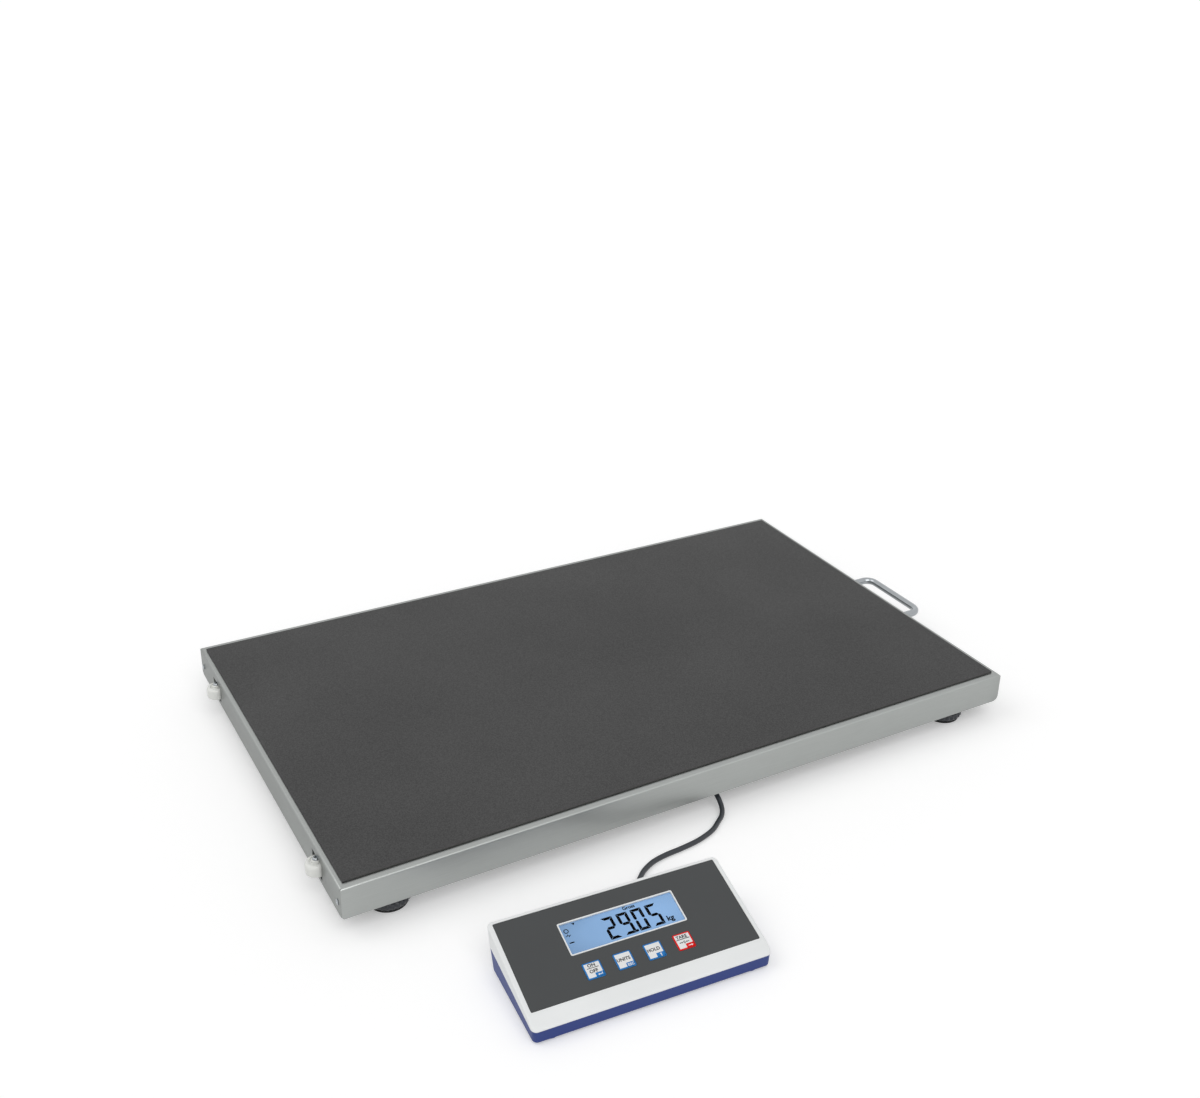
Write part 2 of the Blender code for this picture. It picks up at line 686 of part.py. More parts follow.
def corner_angles():
    """Folded angles spot-welded inside the four corners, sunk a little into the sheet."""
    weld = SHEET / 3
    x_face, y_face = WALL_INSIDE + weld, PLATE_WIDTH / 2 - SHEET + weld
    inner_x, inner_y = WALL_INSIDE - SHEET, PLATE_WIDTH / 2 - 2 * SHEET
    end_x, end_y = inner_x - CORNER_LEG, inner_y - CORNER_LEG
    legs = [(x_face, y_face), (end_x, y_face), (end_x, inner_y), (inner_x, inner_y),
            (inner_x, end_y), (x_face, end_y)]
    bm = bmesh.new()
    for _, x_side, y_side in CORNERS:
        add_prism(bm, [(x_side * x, y_side * y) for x, y in legs], CORNER_BOTTOM, CORNER_TOP)
    return bm


def rivet_places():
    """Frames of the four corner rivets: +Z points out of the end wall they hold."""
    places = []
    for end in (-1, 1):
        for side in (-1, 1):
            y = side * (PLATE_WIDTH / 2 - RIVET_FROM_SIDE)
            move = Matrix.Translation((end * PLATE_LENGTH / 2, y, RIVET_HEIGHT))
            places.append(move @ Matrix.Rotation(end * math.pi / 2, 4, "Y"))
    return places


def rubber_mat(looks, parent):
    """Mat laid on the tray, with a narrow rim of steel left round it."""
    bm = bmesh.new()
    half_x = PLATE_LENGTH / 2 - MAT_RIM_ENDS
    half_y = PLATE_WIDTH / 2 - MAT_RIM_SIDES
    low = PLATE_TOP + GAP
    outline = rounded_outline(-half_x, half_x, -half_y, half_y, MAT_CORNER, 1)
    add_prism(bm, outline, low, low + MAT_THICKNESS)
    piece("rubber_mat", finished(bm, "rubber_mat"), looks["mat_rubber"], parent)


def rails(looks, parent):
    """Long channels that carry the load cells, with holes for the leads."""
    half = PLATE_LENGTH / 2 - RAIL_END_GAP
    outline = channel_outline(RAIL_WIDTH, RAIL_HEIGHT, RAIL_WALL, RAIL_BEND, RAIL_TOP)
    for name, side in (("rail_front", -1), ("rail_back", 1)):
        bm = bmesh.new()
        add_prism(bm, outline, -half, half, "X")
        rail = piece(name, finished(bm, name), looks["stainless"], parent, (0, side * RAIL_Y, 0))
        holes = bmesh.new()
        turn = Matrix.Rotation(math.pi / 2, 4, "X")
        lead_hole = cylinder_profile(LEAD_HOLE_RADIUS, -RAIL_WALL, RAIL_WALL)
        bolt_hole = cylinder_profile(CELL_BOLT_RADIUS + PIN_PLAY, -RAIL_WALL - CUT_PAST, CUT_PAST)
        for end in (-1, 1):
            inner_wall = -side * (RAIL_WIDTH / 2 - RAIL_WALL / 2)
            at = Matrix.Translation((end * LEAD_HOLE_X, inner_wall, LEAD_HEIGHT)) @ turn
            add_turned(holes, lead_hole, FITTING_ROUND, at)
            for place in CELL_BOLT_PLACES:
                at = Matrix.Translation((end * bolt_x(place), 0, RAIL_TOP))
                add_turned(holes, bolt_hole, FITTING_ROUND, at)
        shaped_by(rail, "DIFFERENCE", holes, f"{name}_holes")


def bolt_x(place):
    """Distance of a load-cell bolt from the plate's middle, place counted from the cell's tip."""
    return FOOT_X + CELL_TIP - place


def crossbars(looks, parent):
    """Channels across the plate, between the rails."""
    half = RAIL_Y - RAIL_WIDTH / 2 - GAP
    top = PLATE_UNDERSIDE - GAP
    outline = channel_outline(CROSSBAR_WIDTH, CROSSBAR_HEIGHT, CROSSBAR_WALL, CROSSBAR_BEND, top)
    places = [-x for x in reversed(CROSSBAR_PLACES)] + list(CROSSBAR_PLACES)
    for number, x in enumerate(places, start=1):
        bm = bmesh.new()
        add_prism(bm, outline, -half, half, "Y")
        name = f"crossbar_{number}"
        piece(name, finished(bm, name), looks["stainless"], parent, (x, 0, 0))


def load_cell_body():
    """Bending beam along +X from its tip, with the raised pad of its fixed end."""
    end, half = CELL_LENGTH - CELL_TIP, CELL_WIDTH / 2
    outline = [(-CELL_TIP, CELL_BOTTOM), (end, CELL_BOTTOM), (end, PAD_TOP),
               (end - PAD_LENGTH, PAD_TOP), (end - PAD_LENGTH, CELL_TOP), (-CELL_TIP, CELL_TOP)]
    bm = bmesh.new()
    add_prism(bm, outline, -half, half, "Y")
    return bm


def binocular_outline(middle_x, middle_z):
    """Two round holes joined by a thin slot, as (along, height) points."""
    half, radius = CELL_BEND_HOLE_SPAN / 2, CELL_BEND_HOLE_RADIUS
    meet = math.degrees(math.asin(CELL_WEB_SLOT / 2 / radius))
    right = arc((middle_x + half, middle_z), radius, -180 + meet, 180 - meet, 6)
    left = arc((middle_x - half, middle_z), radius, meet, 360 - meet, 6)
    return right + left


def load_cells(looks, parent):
    """Cells with their rail bolts and the foot's lock nut tightened on."""
    head, sunk = CELL_BOTTOM - CELL_BOLT_HEAD_HEIGHT, CELL_BOTTOM + JOINED_SINK
    bolt = [(0, head), (CELL_BOLT_HEAD_RADIUS, head), (CELL_BOLT_HEAD_RADIUS, sunk),
            (CELL_BOLT_RADIUS, sunk), (CELL_BOLT_RADIUS, RAIL_TOP - GAP), (0, RAIL_TOP - GAP)]
    nut = cylinder_profile(LOCK_NUT_FLATS / math.sqrt(3), NUT_BOTTOM, sunk)
    stud_bore = cylinder_profile(STUD_RADIUS + PIN_PLAY, NUT_BOTTOM - CUT_PAST, CELL_TOP + CUT_PAST)
    middle_x = (CELL_BOLT_PLACES[0] - CELL_TIP) / 2
    outline = binocular_outline(middle_x, (CELL_BOTTOM + CELL_TOP) / 2)
    for name, x_side, y_side in CORNERS:
        turn = math.pi if x_side > 0 else 0
        place = (x_side * FOOT_X, y_side * RAIL_Y, 0)
        mesh = finished(load_cell_body(), "load_cell")
        cell = piece(f"load_cell_{name}", mesh, looks["aluminium"], parent, place, (0, 0, turn))
        fasteners = bmesh.new()
        add_turned(fasteners, nut, 6)
        for along in CELL_BOLT_PLACES:
            add_turned(fasteners, bolt, SCREW_ROUND, Matrix.Translation((along - CELL_TIP, 0, 0)))
        shaped_by(cell, "UNION", fasteners, f"cell_fasteners_{name}")
        cuts = bmesh.new()
        add_turned(cuts, stud_bore, ROUND)
        add_prism(cuts, outline, -CELL_WIDTH, CELL_WIDTH, "Y")
        shaped_by(cell, "DIFFERENCE", cuts, f"cell_holes_{name}")


def wheel_ring(radius, height):
    """Outline of the fluted rim: two points on each crest and one in each groove."""
    points = []
    for k in range(3 * FOOT_FLUTES):
        angle = 2 * math.pi * k / (3 * FOOT_FLUTES)
        reach = radius - (FOOT_FLUTE_DEPTH if k % 3 == 0 else 0)
        points.append((reach * math.cos(angle), reach * math.sin(angle), height))
    return points


def levelling_feet(looks, parent):
    """Fluted wheels on threaded studs, each over a rubber sole that it turns on."""
    wheel_bm = bmesh.new()
    narrow = FOOT_RADIUS - FOOT_CHAMFER
    add_loft(wheel_bm, [
        wheel_ring(narrow - FOOT_CHAMFER, WHEEL_BOTTOM),
        wheel_ring(FOOT_RADIUS, WHEEL_BOTTOM + 2 * FOOT_CHAMFER),
        wheel_ring(FOOT_RADIUS, WHEEL_TOP - FOOT_CHAMFER),
        wheel_ring(narrow, WHEEL_TOP),
    ])
    wheel_mesh = finished(wheel_bm, "foot_wheel")
    sole_bm = bmesh.new()
    pin_top = SOLE_HEIGHT + SOLE_PIN_HEIGHT
    sole = [(0, 0), (SOLE_RADIUS - SOLE_CHAMFER, 0), (SOLE_RADIUS, SOLE_CHAMFER),
            (SOLE_RADIUS, SOLE_HEIGHT), (SOLE_PIN_RADIUS, SOLE_HEIGHT), (SOLE_PIN_RADIUS, pin_top),
            (0, pin_top)]
    add_turned(sole_bm, sole, ROUND)
    sole_mesh = finished(sole_bm, "foot_sole")
    hub_low, stud_top = WHEEL_TOP - 2 * JOINED_SINK, CELL_BOTTOM + STUD_IN_CELL
    stud = [(0, hub_low), (FOOT_HUB_RADIUS, hub_low), (FOOT_HUB_RADIUS, WHEEL_TOP),
            (FOOT_NECK_RADIUS, HUB_TOP), (STUD_RADIUS, HUB_TOP), (STUD_RADIUS, stud_top - STUD_CHAMFER),
            (STUD_RADIUS - STUD_CHAMFER, stud_top), (0, stud_top)]
    pin_bore = cylinder_profile(SOLE_PIN_RADIUS + PIN_PLAY, 0, pin_top + GAP)
    for name, x_side, y_side in CORNERS:
        place = (x_side * FOOT_X, y_side * RAIL_Y, 0)
        piece(f"foot_sole_{name}", sole_mesh, looks["sole_rubber"], parent, place)
        wheel = piece(f"foot_wheel_{name}", wheel_mesh, looks["foot_nylon"], parent, place)
        hub = bmesh.new()
        add_turned(hub, stud, ROUND)
        shaped_by(wheel, "UNION", hub, f"foot_stud_{name}")
        seat = bmesh.new()
        add_turned(seat, pin_bore, ROUND)
        shaped_by(wheel, "DIFFERENCE", seat, f"foot_seat_{name}")


def rollers(looks, parent):
    """Nylon rollers on upright pins, half outside the left end wall."""
    low, high = ROLLER_BOTTOM, ROLLER_BOTTOM + ROLLER_WIDTH
    bore = ROLLER_PIN_RADIUS + PIN_PLAY
    edge = ROLLER_EDGE
    outer = arc((ROLLER_RADIUS - edge, high - edge), edge, 90, 0, 2)
    outer += arc((ROLLER_RADIUS - edge, low + edge), edge, 0, -90, 2)
    hub_top, dish = high + ROLLER_HUB_RISE, high - ROLLER_DISH
    profile = [(bore, low), (bore, hub_top), (ROLLER_HUB_RADIUS, hub_top), (ROLLER_HUB_RADIUS, dish),
               (ROLLER_DISH_RADIUS, dish), (ROLLER_DISH_RADIUS, high), *outer]
    bm = bmesh.new()
    add_ring(bm, profile, ROLLER_ROUND)
    mesh = finished(bm, "roller")
    for name, side in (("roller_front", -1), ("roller_back", 1)):
        piece(name, mesh, looks["roller_nylon"], parent, (ROLLER_X, side * ROLLER_Y, 0))


def roller_brackets(looks, parent):
    """Plates inside the end wall, each with a shelf that reaches out under its roller."""
    inside = -WALL_INSIDE + GAP
    shelf_top = ROLLER_BOTTOM - GAP
    shelf_low = shelf_top - ROLLER_EAR_THICKNESS
    half, window, ear = ROLLER_BRACKET_HALF_WIDTH, ROLLER_SLOT_HALF_WIDTH, ROLLER_EAR_HALF_WIDTH
    back = inside + ROLLER_SHELF_DEPTH
    radius = ROLLER_PIN_RADIUS + PIN_PLAY
    pin_bore = cylinder_profile(radius, shelf_low - CUT_PAST, shelf_top + CUT_PAST)
    for name, side in (("roller_bracket_front", -1), ("roller_bracket_back", 1)):
        y = side * ROLLER_Y
        bm = bmesh.new()
        add_box(bm, (inside, -half, ROLLER_BRACKET_BOTTOM), (inside + SHEET, half, ROLLER_BRACKET_TOP))
        plate = piece(name, finished(bm, name), looks["stainless"], parent, (0, y, 0))
        cuts = bmesh.new()
        low = (inside - SHEET, -window, shelf_low + SHEET / 3)
        add_box(cuts, low, (inside + 2 * SHEET, window, ROLLER_SLOT_TOP))
        shaped_by(plate, "DIFFERENCE", cuts, f"{name}_window")
        shelf = bmesh.new()
        round_end = arc((ROLLER_X, 0), ear, 90, 270, 6)
        add_prism(shelf, [*round_end, (back, -ear), (back, ear)], shelf_low, shelf_top)
        shaped_by(plate, "UNION", shelf, f"{name}_shelf")
        bore = bmesh.new()
        at = Matrix.Translation((ROLLER_X, 0, 0))
        add_turned(bore, pin_bore, FITTING_ROUND, at)
        shaped_by(plate, "DIFFERENCE", bore, f"{name}_bore")


def roller_screws(looks, parent):
    """Shoulder screws that the rollers turn on."""
    seat = ROLLER_BOTTOM + ROLLER_WIDTH + ROLLER_HUB_RISE + GAP
    low = ROLLER_BOTTOM - GAP - ROLLER_EAR_THICKNESS
    top, head = seat + ROLLER_SCREW_HEAD_HEIGHT, ROLLER_SCREW_HEAD_RADIUS
    profile = [(0, low), (ROLLER_PIN_RADIUS, low), (ROLLER_PIN_RADIUS, seat), (head, seat),
               (head, top - ROLLER_SCREW_CHAMFER), (ROLLER_SCREW_CROWN_RADIUS, top), (0, top)]
    for name, side in (("roller_screw_front", -1), ("roller_screw_back", 1)):
        bm = bmesh.new()
        add_turned(bm, profile, ROUND)
        piece(name, finished(bm, name), looks["polished_steel"], parent, (ROLLER_X, side * ROLLER_Y, 0))


def corner_rivets(looks, parent):
    """Blind rivets through the end walls and the corner angles."""
    tail_top = -2 * (SHEET + GAP)
    tail_low = tail_top - RIVET_TAIL_HEIGHT
    profile = [(0, tail_low), (RIVET_TAIL_RADIUS, tail_low + RIVET_TAIL_CHAMFER),
               (RIVET_TAIL_RADIUS, tail_top), (RIVET_RADIUS, tail_top), (RIVET_RADIUS, GAP),
               (RIVET_HEAD_RADIUS, GAP), (RIVET_HEAD_RADIUS, GAP + RIVET_HEAD_EDGE),
               (RIVET_CROWN_RADIUS, GAP + RIVET_CROWN_RISE), (0, GAP + RIVET_HEAD_HEIGHT)]
    for number, place in enumerate(rivet_places(), start=1):
        bm = bmesh.new()
        add_turned(bm, profile, SCREW_ROUND, place)
        name = f"corner_rivet_{number}"
        piece(name, finished(bm, name), looks["polished_steel"], parent)


def handle(looks, parent):
    """Round rod bent to a U, its legs screwed to the end wall from inside."""
    root = PLATE_LENGTH / 2 + GAP
    outer = PLATE_LENGTH / 2 + HANDLE_REACH
    half, bend = HANDLE_HALF_WIDTH, HANDLE_BEND
    route = [(root, -half)]
    route += arc((outer - bend, -half + bend), bend, -90, 0, 5)
    route += arc((outer - bend, half - bend), bend, 0, 90, 5)
    route += [(root, half)]
    points = [(x, y, HANDLE_HEIGHT) for x, y in route]
    bar = tube("handle", points, HANDLE_ROD_RADIUS, 12, looks["polished_steel"], parent)
    bpy.context.view_layer.update()
    rod = bpy.data.meshes.new_from_object(bar.evaluated_get(bpy.context.evaluated_depsgraph_get()))
    bpy.data.objects.remove(bar)
    bar = piece("handle", rod, looks["polished_steel"], parent)
    bores = bmesh.new()
    bore = cylinder_profile(HANDLE_SCREW_RADIUS + PIN_PLAY, -CUT_PAST, HANDLE_SCREW_DEPTH + GAP)
    for at in handle_roots():
        add_turned(bores, bore, FITTING_ROUND, at)
    shaped_by(bar, "DIFFERENCE", bores, "handle_bores")


def handle_roots():
    """Frames at the handle's roots on the outer face of the end wall, +Z along the legs."""
    turn = Matrix.Rotation(math.pi / 2, 4, "Y")
    places = [(PLATE_LENGTH / 2, side * HANDLE_HALF_WIDTH, HANDLE_HEIGHT) for side in (-1, 1)]
    return [Matrix.Translation(place) @ turn for place in places]


def handle_screws(looks, parent):
    """Screws with washers, from inside the end wall into the handle's legs."""
    washer_top = -SHEET - GAP
    seat = washer_top - HANDLE_WASHER
    low = seat - HANDLE_HEAD_HEIGHT
    profile = [(0, low), (HANDLE_HEAD_RADIUS, low), (HANDLE_HEAD_RADIUS, seat),
               (HANDLE_WASHER_RADIUS, seat), (HANDLE_WASHER_RADIUS, washer_top),
               (HANDLE_SCREW_RADIUS, washer_top), (HANDLE_SCREW_RADIUS, HANDLE_SCREW_DEPTH),
               (0, HANDLE_SCREW_DEPTH)]
    for name, at in zip(("handle_screw_front", "handle_screw_back"), handle_roots()):
        bm = bmesh.new()
        add_turned(bm, profile, FITTING_ROUND, at)
        piece(name, finished(bm, name), looks["zinc_steel"], parent)


# Wiring under the plate

def box_corners():
    """Plan limits of the junction box: left, right, front, back."""
    return (BOX_X - BOX_LENGTH / 2, BOX_X + BOX_LENGTH / 2, BOX_FRONT, BOX_FRONT + BOX_DEPTH)


def junction_box(looks, parent):
    """Box against the plate, open below, and its lid with the screws in it."""
    left, right, front, back = box_corners()
    top = PLATE_UNDERSIDE - GAP
    low = top - BOX_HEIGHT
    wall, pillar = BOX_WALL, 2 * BOX_SCREW_INSET
    bm = bmesh.new()
    add_prism(bm, rounded_outline(left, right, front, back, BOX_CORNER, 2), low, top)
    box = piece("junction_box", finished(bm, "junction_box"), looks["box_plastic"], parent)
    out_x, out_y = (left + wall, right - wall), (front + wall, back - wall)
    in_x, in_y = (left + pillar, right - pillar), (front + pillar, back - pillar)
    hollow = [(in_x[0], out_y[0]), (in_x[1], out_y[0]), (in_x[1], in_y[0]), (out_x[1], in_y[0]),
              (out_x[1], in_y[1]), (in_x[1], in_y[1]), (in_x[1], out_y[1]), (in_x[0], out_y[1]),
              (in_x[0], in_y[1]), (out_x[0], in_y[1]), (out_x[0], in_y[0]), (in_x[0], in_y[0])]
    cuts = bmesh.new()
    add_prism(cuts, hollow, low - wall, top - wall)
    screw_top = low + BOX_SCREW_LENGTH
    bore = cylinder_profile(BOX_SCREW_RADIUS + PIN_PLAY, low - CUT_PAST, screw_top + GAP)
    for x, y in box_screw_places():
        add_turned(cuts, bore, SCREW_ROUND, Matrix.Translation((x, y, 0)))
    shaped_by(box, "DIFFERENCE", cuts, "box_hollow")

    lid_bm = bmesh.new()
    lid_top = low - GAP
    outline = rounded_outline(left, right, front, back, BOX_CORNER, 2)
    add_prism(lid_bm, outline, lid_top - BOX_LID_THICKNESS, lid_top)
    lid = piece("junction_lid", finished(lid_bm, "junction_lid"), looks["box_plastic"], parent)
    screws = bmesh.new()
    seat = lid_top - BOX_LID_THICKNESS
    crown, sunk = seat - BOX_SCREW_RISE, seat + JOINED_SINK
    profile = [(0, crown), (BOX_SCREW_CROWN_RADIUS, crown), (BOX_SCREW_HEAD_RADIUS, seat - BOX_SCREW_EDGE),
               (BOX_SCREW_HEAD_RADIUS, sunk), (BOX_SCREW_RADIUS, sunk), (BOX_SCREW_RADIUS, screw_top),
               (0, screw_top)]
    for x, y in box_screw_places():
        add_turned(screws, profile, SCREW_ROUND, Matrix.Translation((x, y, 0)))
    shaped_by(lid, "UNION", screws, "lid_screws")


def box_screw_places():
    left, right, front, back = box_corners()
    inset = BOX_SCREW_INSET
    return [(x, y) for x in (left + inset, right - inset) for y in (front + inset, back - inset)]


def clip_faces():
    """Front and back faces of the cable clip, which grips the front rail's inner wall."""
    wall = -(RAIL_Y - RAIL_WIDTH / 2 + RAIL_WALL / 2)
    front = wall - (CABLE_CLIP_LENGTH - RAIL_WALL) / 2 + CABLE_CLIP_SHIFT
    return front, front + CABLE_CLIP_LENGTH, wall


def cable_clip(looks, parent):
    """Nylon clip pushed onto the lower edge of the front rail, with the cable through it."""
    front, back, wall = clip_faces()
    half = CABLE_CLIP_HALF_WIDTH
    bm = bmesh.new()
    add_box(bm, (CABLE_X - half, front, CABLE_CLIP_BOTTOM), (CABLE_X + half, back, CABLE_CLIP_TOP))
    clip = piece("cable_clip", finished(bm, "cable_clip"), looks["black_plastic"], parent)
    cuts = bmesh.new()
    groove = RAIL_WALL / 2 + GAP
    low = (CABLE_X - 2 * half, wall - groove, RAIL_BOTTOM - GAP)
    high = (CABLE_X + 2 * half, wall + groove, CABLE_CLIP_TOP + RAIL_WALL)
    add_box(cuts, low, high)
    turn = Matrix.Rotation(math.pi / 2, 4, "X")
    at = Matrix.Translation((CABLE_X, wall, CABLE_CLIP_BORE_Z)) @ turn
    bore = cylinder_profile(CABLE_RADIUS + PIN_PLAY, -CABLE_CLIP_LENGTH, CABLE_CLIP_LENGTH)
    add_turned(cuts, bore, FITTING_ROUND, at)
    shaped_by(clip, "DIFFERENCE", cuts, "clip_cuts")


def signal_lead(looks, parent):
    """Held stretch of the display's cable, from the junction box to the clip's front face."""
    clip_front, clip_back, _ = clip_faces()
    high = PLATE_UNDERSIDE - GAP - BOX_HEIGHT / 2
    low = CABLE_CLIP_BORE_Z
    run = (BOX_FRONT - clip_back) / 3
    route = [(CABLE_X, BOX_FRONT - GAP, high), (CABLE_X, BOX_FRONT - run, high),
             (CABLE_X, clip_back + run, low), (CABLE_X, clip_front, low)]
    # Each bend takes a little less than half of the run between them
    points = bent_route(route, 0.45 * run)
    tube("signal_lead", points, CABLE_RADIUS, SCREW_ROUND, looks["cable_jacket"], parent)


def cell_leads(looks, parent):
    """Lead of each cell: along inside its rail, out through the hole, across to the box."""
    left, right, front, back = box_corners()
    end_x = FOOT_X + CELL_TIP - CELL_LENGTH - GAP
    for name, x_side, y_side in CORNERS:
        box_x = (left if x_side < 0 else right) + x_side * GAP
        box_y = (front + back) / 2 + y_side * BOX_DEPTH / 6
        route = [(x_side * end_x, y_side * RAIL_Y, LEAD_HEIGHT),
                 (x_side * LEAD_HOLE_X, y_side * RAIL_Y, LEAD_HEIGHT),
                 (x_side * LEAD_HOLE_X, box_y, LEAD_HEIGHT),
                 (box_x, box_y, LEAD_HEIGHT)]
        points = bent_route(route, LEAD_BEND)
        tube(f"cell_lead_{name}", points, LEAD_RADIUS, 6, looks["cable_jacket"], parent)


def signal_cable(looks, parent):
    """Free cable on the floor, from the clip's face to the tip of the display's boot."""
    start = (CABLE_X, clip_faces()[0] - GAP, CABLE_CLIP_BORE_Z)
    leaving = (CABLE_X, start[1] - CABLE_END_RUN, start[2])
    edge = -PLATE_WIDTH / 2
    route = [leaving, *((x, edge + y, z) for x, y, z in CABLE_ROUTE), boot_tip(CABLE_END_RUN)]
    points = [start, *smooth_route(route, CABLE_POINT_SPACING), boot_tip(GAP)]
    tube("signal_cable", points, CABLE_RADIUS, SCREW_ROUND, looks["cable_jacket"], parent)


# Display unit

def display_place():
    """Frame of the display unit, from that of the platform."""
    return Matrix.Translation((DISPLAY_X, DISPLAY_Y, 0)) @ Matrix.Rotation(DISPLAY_YAW, 4, "Z")


def top_z(y):
    """Height of the housing's top: the sloping panel, then the steeper front band."""
    panel = PANEL_CENTRE_Z + y * PANEL_SLOPE
    if y >= CREASE_Y:
        return panel
    return panel - (CREASE_Y - y) * (FRONT_BAND_SLOPE - PANEL_SLOPE)


def parting_z(y):
    return PARTING_CENTRE_Z + y * PARTING_SLOPE


def housing_ring(height, inset=0.0, side=0.0, back=0.0):
    """Rounded plan outline shrunk by insets, at a height given as a function of depth."""
    half = HOUSING_HALF - inset - side
    front, rear = HOUSING_FRONT + inset, HOUSING_BACK - inset - back
    radius = HOUSING_CORNER - inset
    outline = rounded_outline(-half, half, front, rear, radius, 3, (CREASE_Y,))
    return [(x, y, height(y)) for x, y in outline]


def add_shell(bm, outer, inner):
    """Open shell: two stacks of rings joined at their first rings and closed at their last."""
    rims = []
    for rings in (outer, inner):
        loops = [[bm.verts.new(point) for point in ring] for ring in rings]
        add_walls(bm, loops)
        # The last ring closes with two faces that meet along the crease of the top
        right, left = [i for i, v in enumerate(loops[-1]) if abs(v.co.y - CREASE_Y) < 1e-7]
        bm.faces.new(loops[-1][right:left + 1])
        bm.faces.new(loops[-1][left:] + loops[-1][:right + 1])
        rims.append(loops[0])
    add_walls(bm, rims)


def display_cover(looks, parent, panel):
    """Upper shell: wall, rounded edge, sloping top with its openings, and front band."""
    edge, wall = HOUSING_EDGE, HOUSING_WALL
    outer = [housing_ring(parting_z, back=PARTING_BACK_INSET)]
    for angle in (0, 30, 60, 90):
        turn = math.radians(angle)
        drop = edge * (1 - math.sin(turn))
        outer.append(housing_ring(lambda y, d=drop: top_z(y) - d, edge * (1 - math.cos(turn))))
    inner = [housing_ring(parting_z, wall, back=PARTING_BACK_INSET),
             housing_ring(lambda y: top_z(y) - wall, wall)]
    bm = bmesh.new()
    add_shell(bm, outer, inner)
    cover = piece("display_cover", finished(bm, "display_cover"), looks["white_plastic"], parent)

    bosses = bmesh.new()
    for x, y in SCREW_PLACES:
        add_post(bosses, x, y, COVER_BOSS_RADIUS, parting_z, lambda v: top_z(v) - COVER_BOSS_DROP)
    shaped_by(cover, "UNION", bosses, "cover_bosses")
    recess = bmesh.new()
    outline = rounded_outline(-FOIL_HALF_WIDTH - GAP, FOIL_HALF_WIDTH + GAP, FOIL_FRONT - GAP,
                              FOIL_BACK + GAP, FOIL_CORNER, 2)
    add_prism(recess, outline, -RECESS_DEPTH, HOUSING_EDGE)
    shaped_by(cover, "DIFFERENCE", recess, "foil_recess", panel)

    inside = bmesh.new()
    top = -(RECESS_DEPTH + GAP)
    seat = GAP - BOARD_DEPTH
    tip = seat - BOARD_THICKNESS - 4 * GAP
    post = [(0, tip), (POST_SPIGOT_RADIUS, tip), (POST_SPIGOT_RADIUS, seat), (POST_RADIUS, seat),
            (POST_RADIUS, top), (0, top)]
    for x, y in post_places():
        add_turned(inside, post, 6, Matrix.Translation((x, y, 0)))
    left, right, front, back = window_edges(RIM_WIDTH)
    add_box(inside, (left, front, top), (right, back, 0))
    shaped_by(cover, "UNION", inside, "cover_posts_and_rim", panel)

    holes = bmesh.new()
    left, right, front, back = window_edges(0)
    deep, over = -2 * wall, HOUSING_EDGE
    add_box(holes, (left, front, deep), (right, back, over))
    for x in key_places():
        half = KEY_SIZE / 2 + GAP
        add_box(holes, (x - half, KEY_Y - half, deep), (x + half, KEY_Y + half, over))
    shaped_by(cover, "DIFFERENCE", holes, "cover_openings", panel)

    bores = bmesh.new()
    for x, y in SCREW_PLACES:
        top = parting_z(y) + SCREW_GRIP + GAP
        bore = cylinder_profile(SCREW_RADIUS + PIN_PLAY, parting_z(y) - wall, top)
        add_turned(bores, bore, SCREW_ROUND, Matrix.Translation((x, y, 0)))
    shaped_by(cover, "DIFFERENCE", bores, "cover_bores")


def window_edges(grow):
    """Left, right, front and back edges of the display window on the panel, grown outwards."""
    half = WINDOW_HALF_WIDTH + grow
    return (-half, half, WINDOW_FRONT - grow, WINDOW_BACK + grow)


def key_places():
    return [KEY_FIRST_X + k * KEY_PITCH for k in range(len(KEY_NAMES))]


def post_places():
    return [(x, y) for x in (-POST_X, POST_X) for y in (POST_FRONT, POST_BACK)]


def panel_foil(looks, panel):
    """Grey foil in the cover's recess, with openings round the window's rim and the keys."""
    bm = bmesh.new()
    half = FOIL_HALF_WIDTH
    outline = rounded_outline(-half, half, FOIL_FRONT, FOIL_BACK, FOIL_CORNER, 2)
    add_prism(bm, outline, -FOIL_THICKNESS, 0)
    foil = piece("panel_foil", finished(bm, "panel_foil"), looks["panel_foil"], panel)
    holes = bmesh.new()
    left, right, front, back = window_edges(RIM_WIDTH + GAP)
    add_box(holes, (left, front, -RECESS_DEPTH), (right, back, RECESS_DEPTH))
    half, deep = KEY_SIZE / 2 + GAP, RECESS_DEPTH
    for x in key_places():
        add_box(holes, (x - half, KEY_Y - half, -deep), (x + half, KEY_Y + half, deep))
    shaped_by(foil, "DIFFERENCE", holes, "foil_openings")


def window_and_lcd(looks, panel):
    """Clear pane in the window, and the LCD module that stands on the board behind it."""
    bm = bmesh.new()
    left, right, front, back = window_edges(-GAP)
    low = -(PANE_DEPTH + PANE_THICKNESS)
    add_box(bm, (left, front, low), (right, back, -PANE_DEPTH))
    piece("window_pane", finished(bm, "window_pane"), looks["window_clear"], panel)

    bm = bmesh.new()
    left, right, front, back = window_edges(LCD_MARGIN)
    body, feet = LCD_TOP - LCD_THICKNESS, GAP - BOARD_DEPTH
    in_left, in_right = left + LCD_FOOT, right - LCD_FOOT
    outline = [(left, feet), (in_left, feet), (in_left, body), (in_right, body),
               (in_right, feet), (right, feet), (right, LCD_TOP), (left, LCD_TOP)]
    add_prism(bm, outline, front, back, "Y")
    piece("lcd_module", finished(bm, "lcd_module"), looks["lcd_blue"], panel)


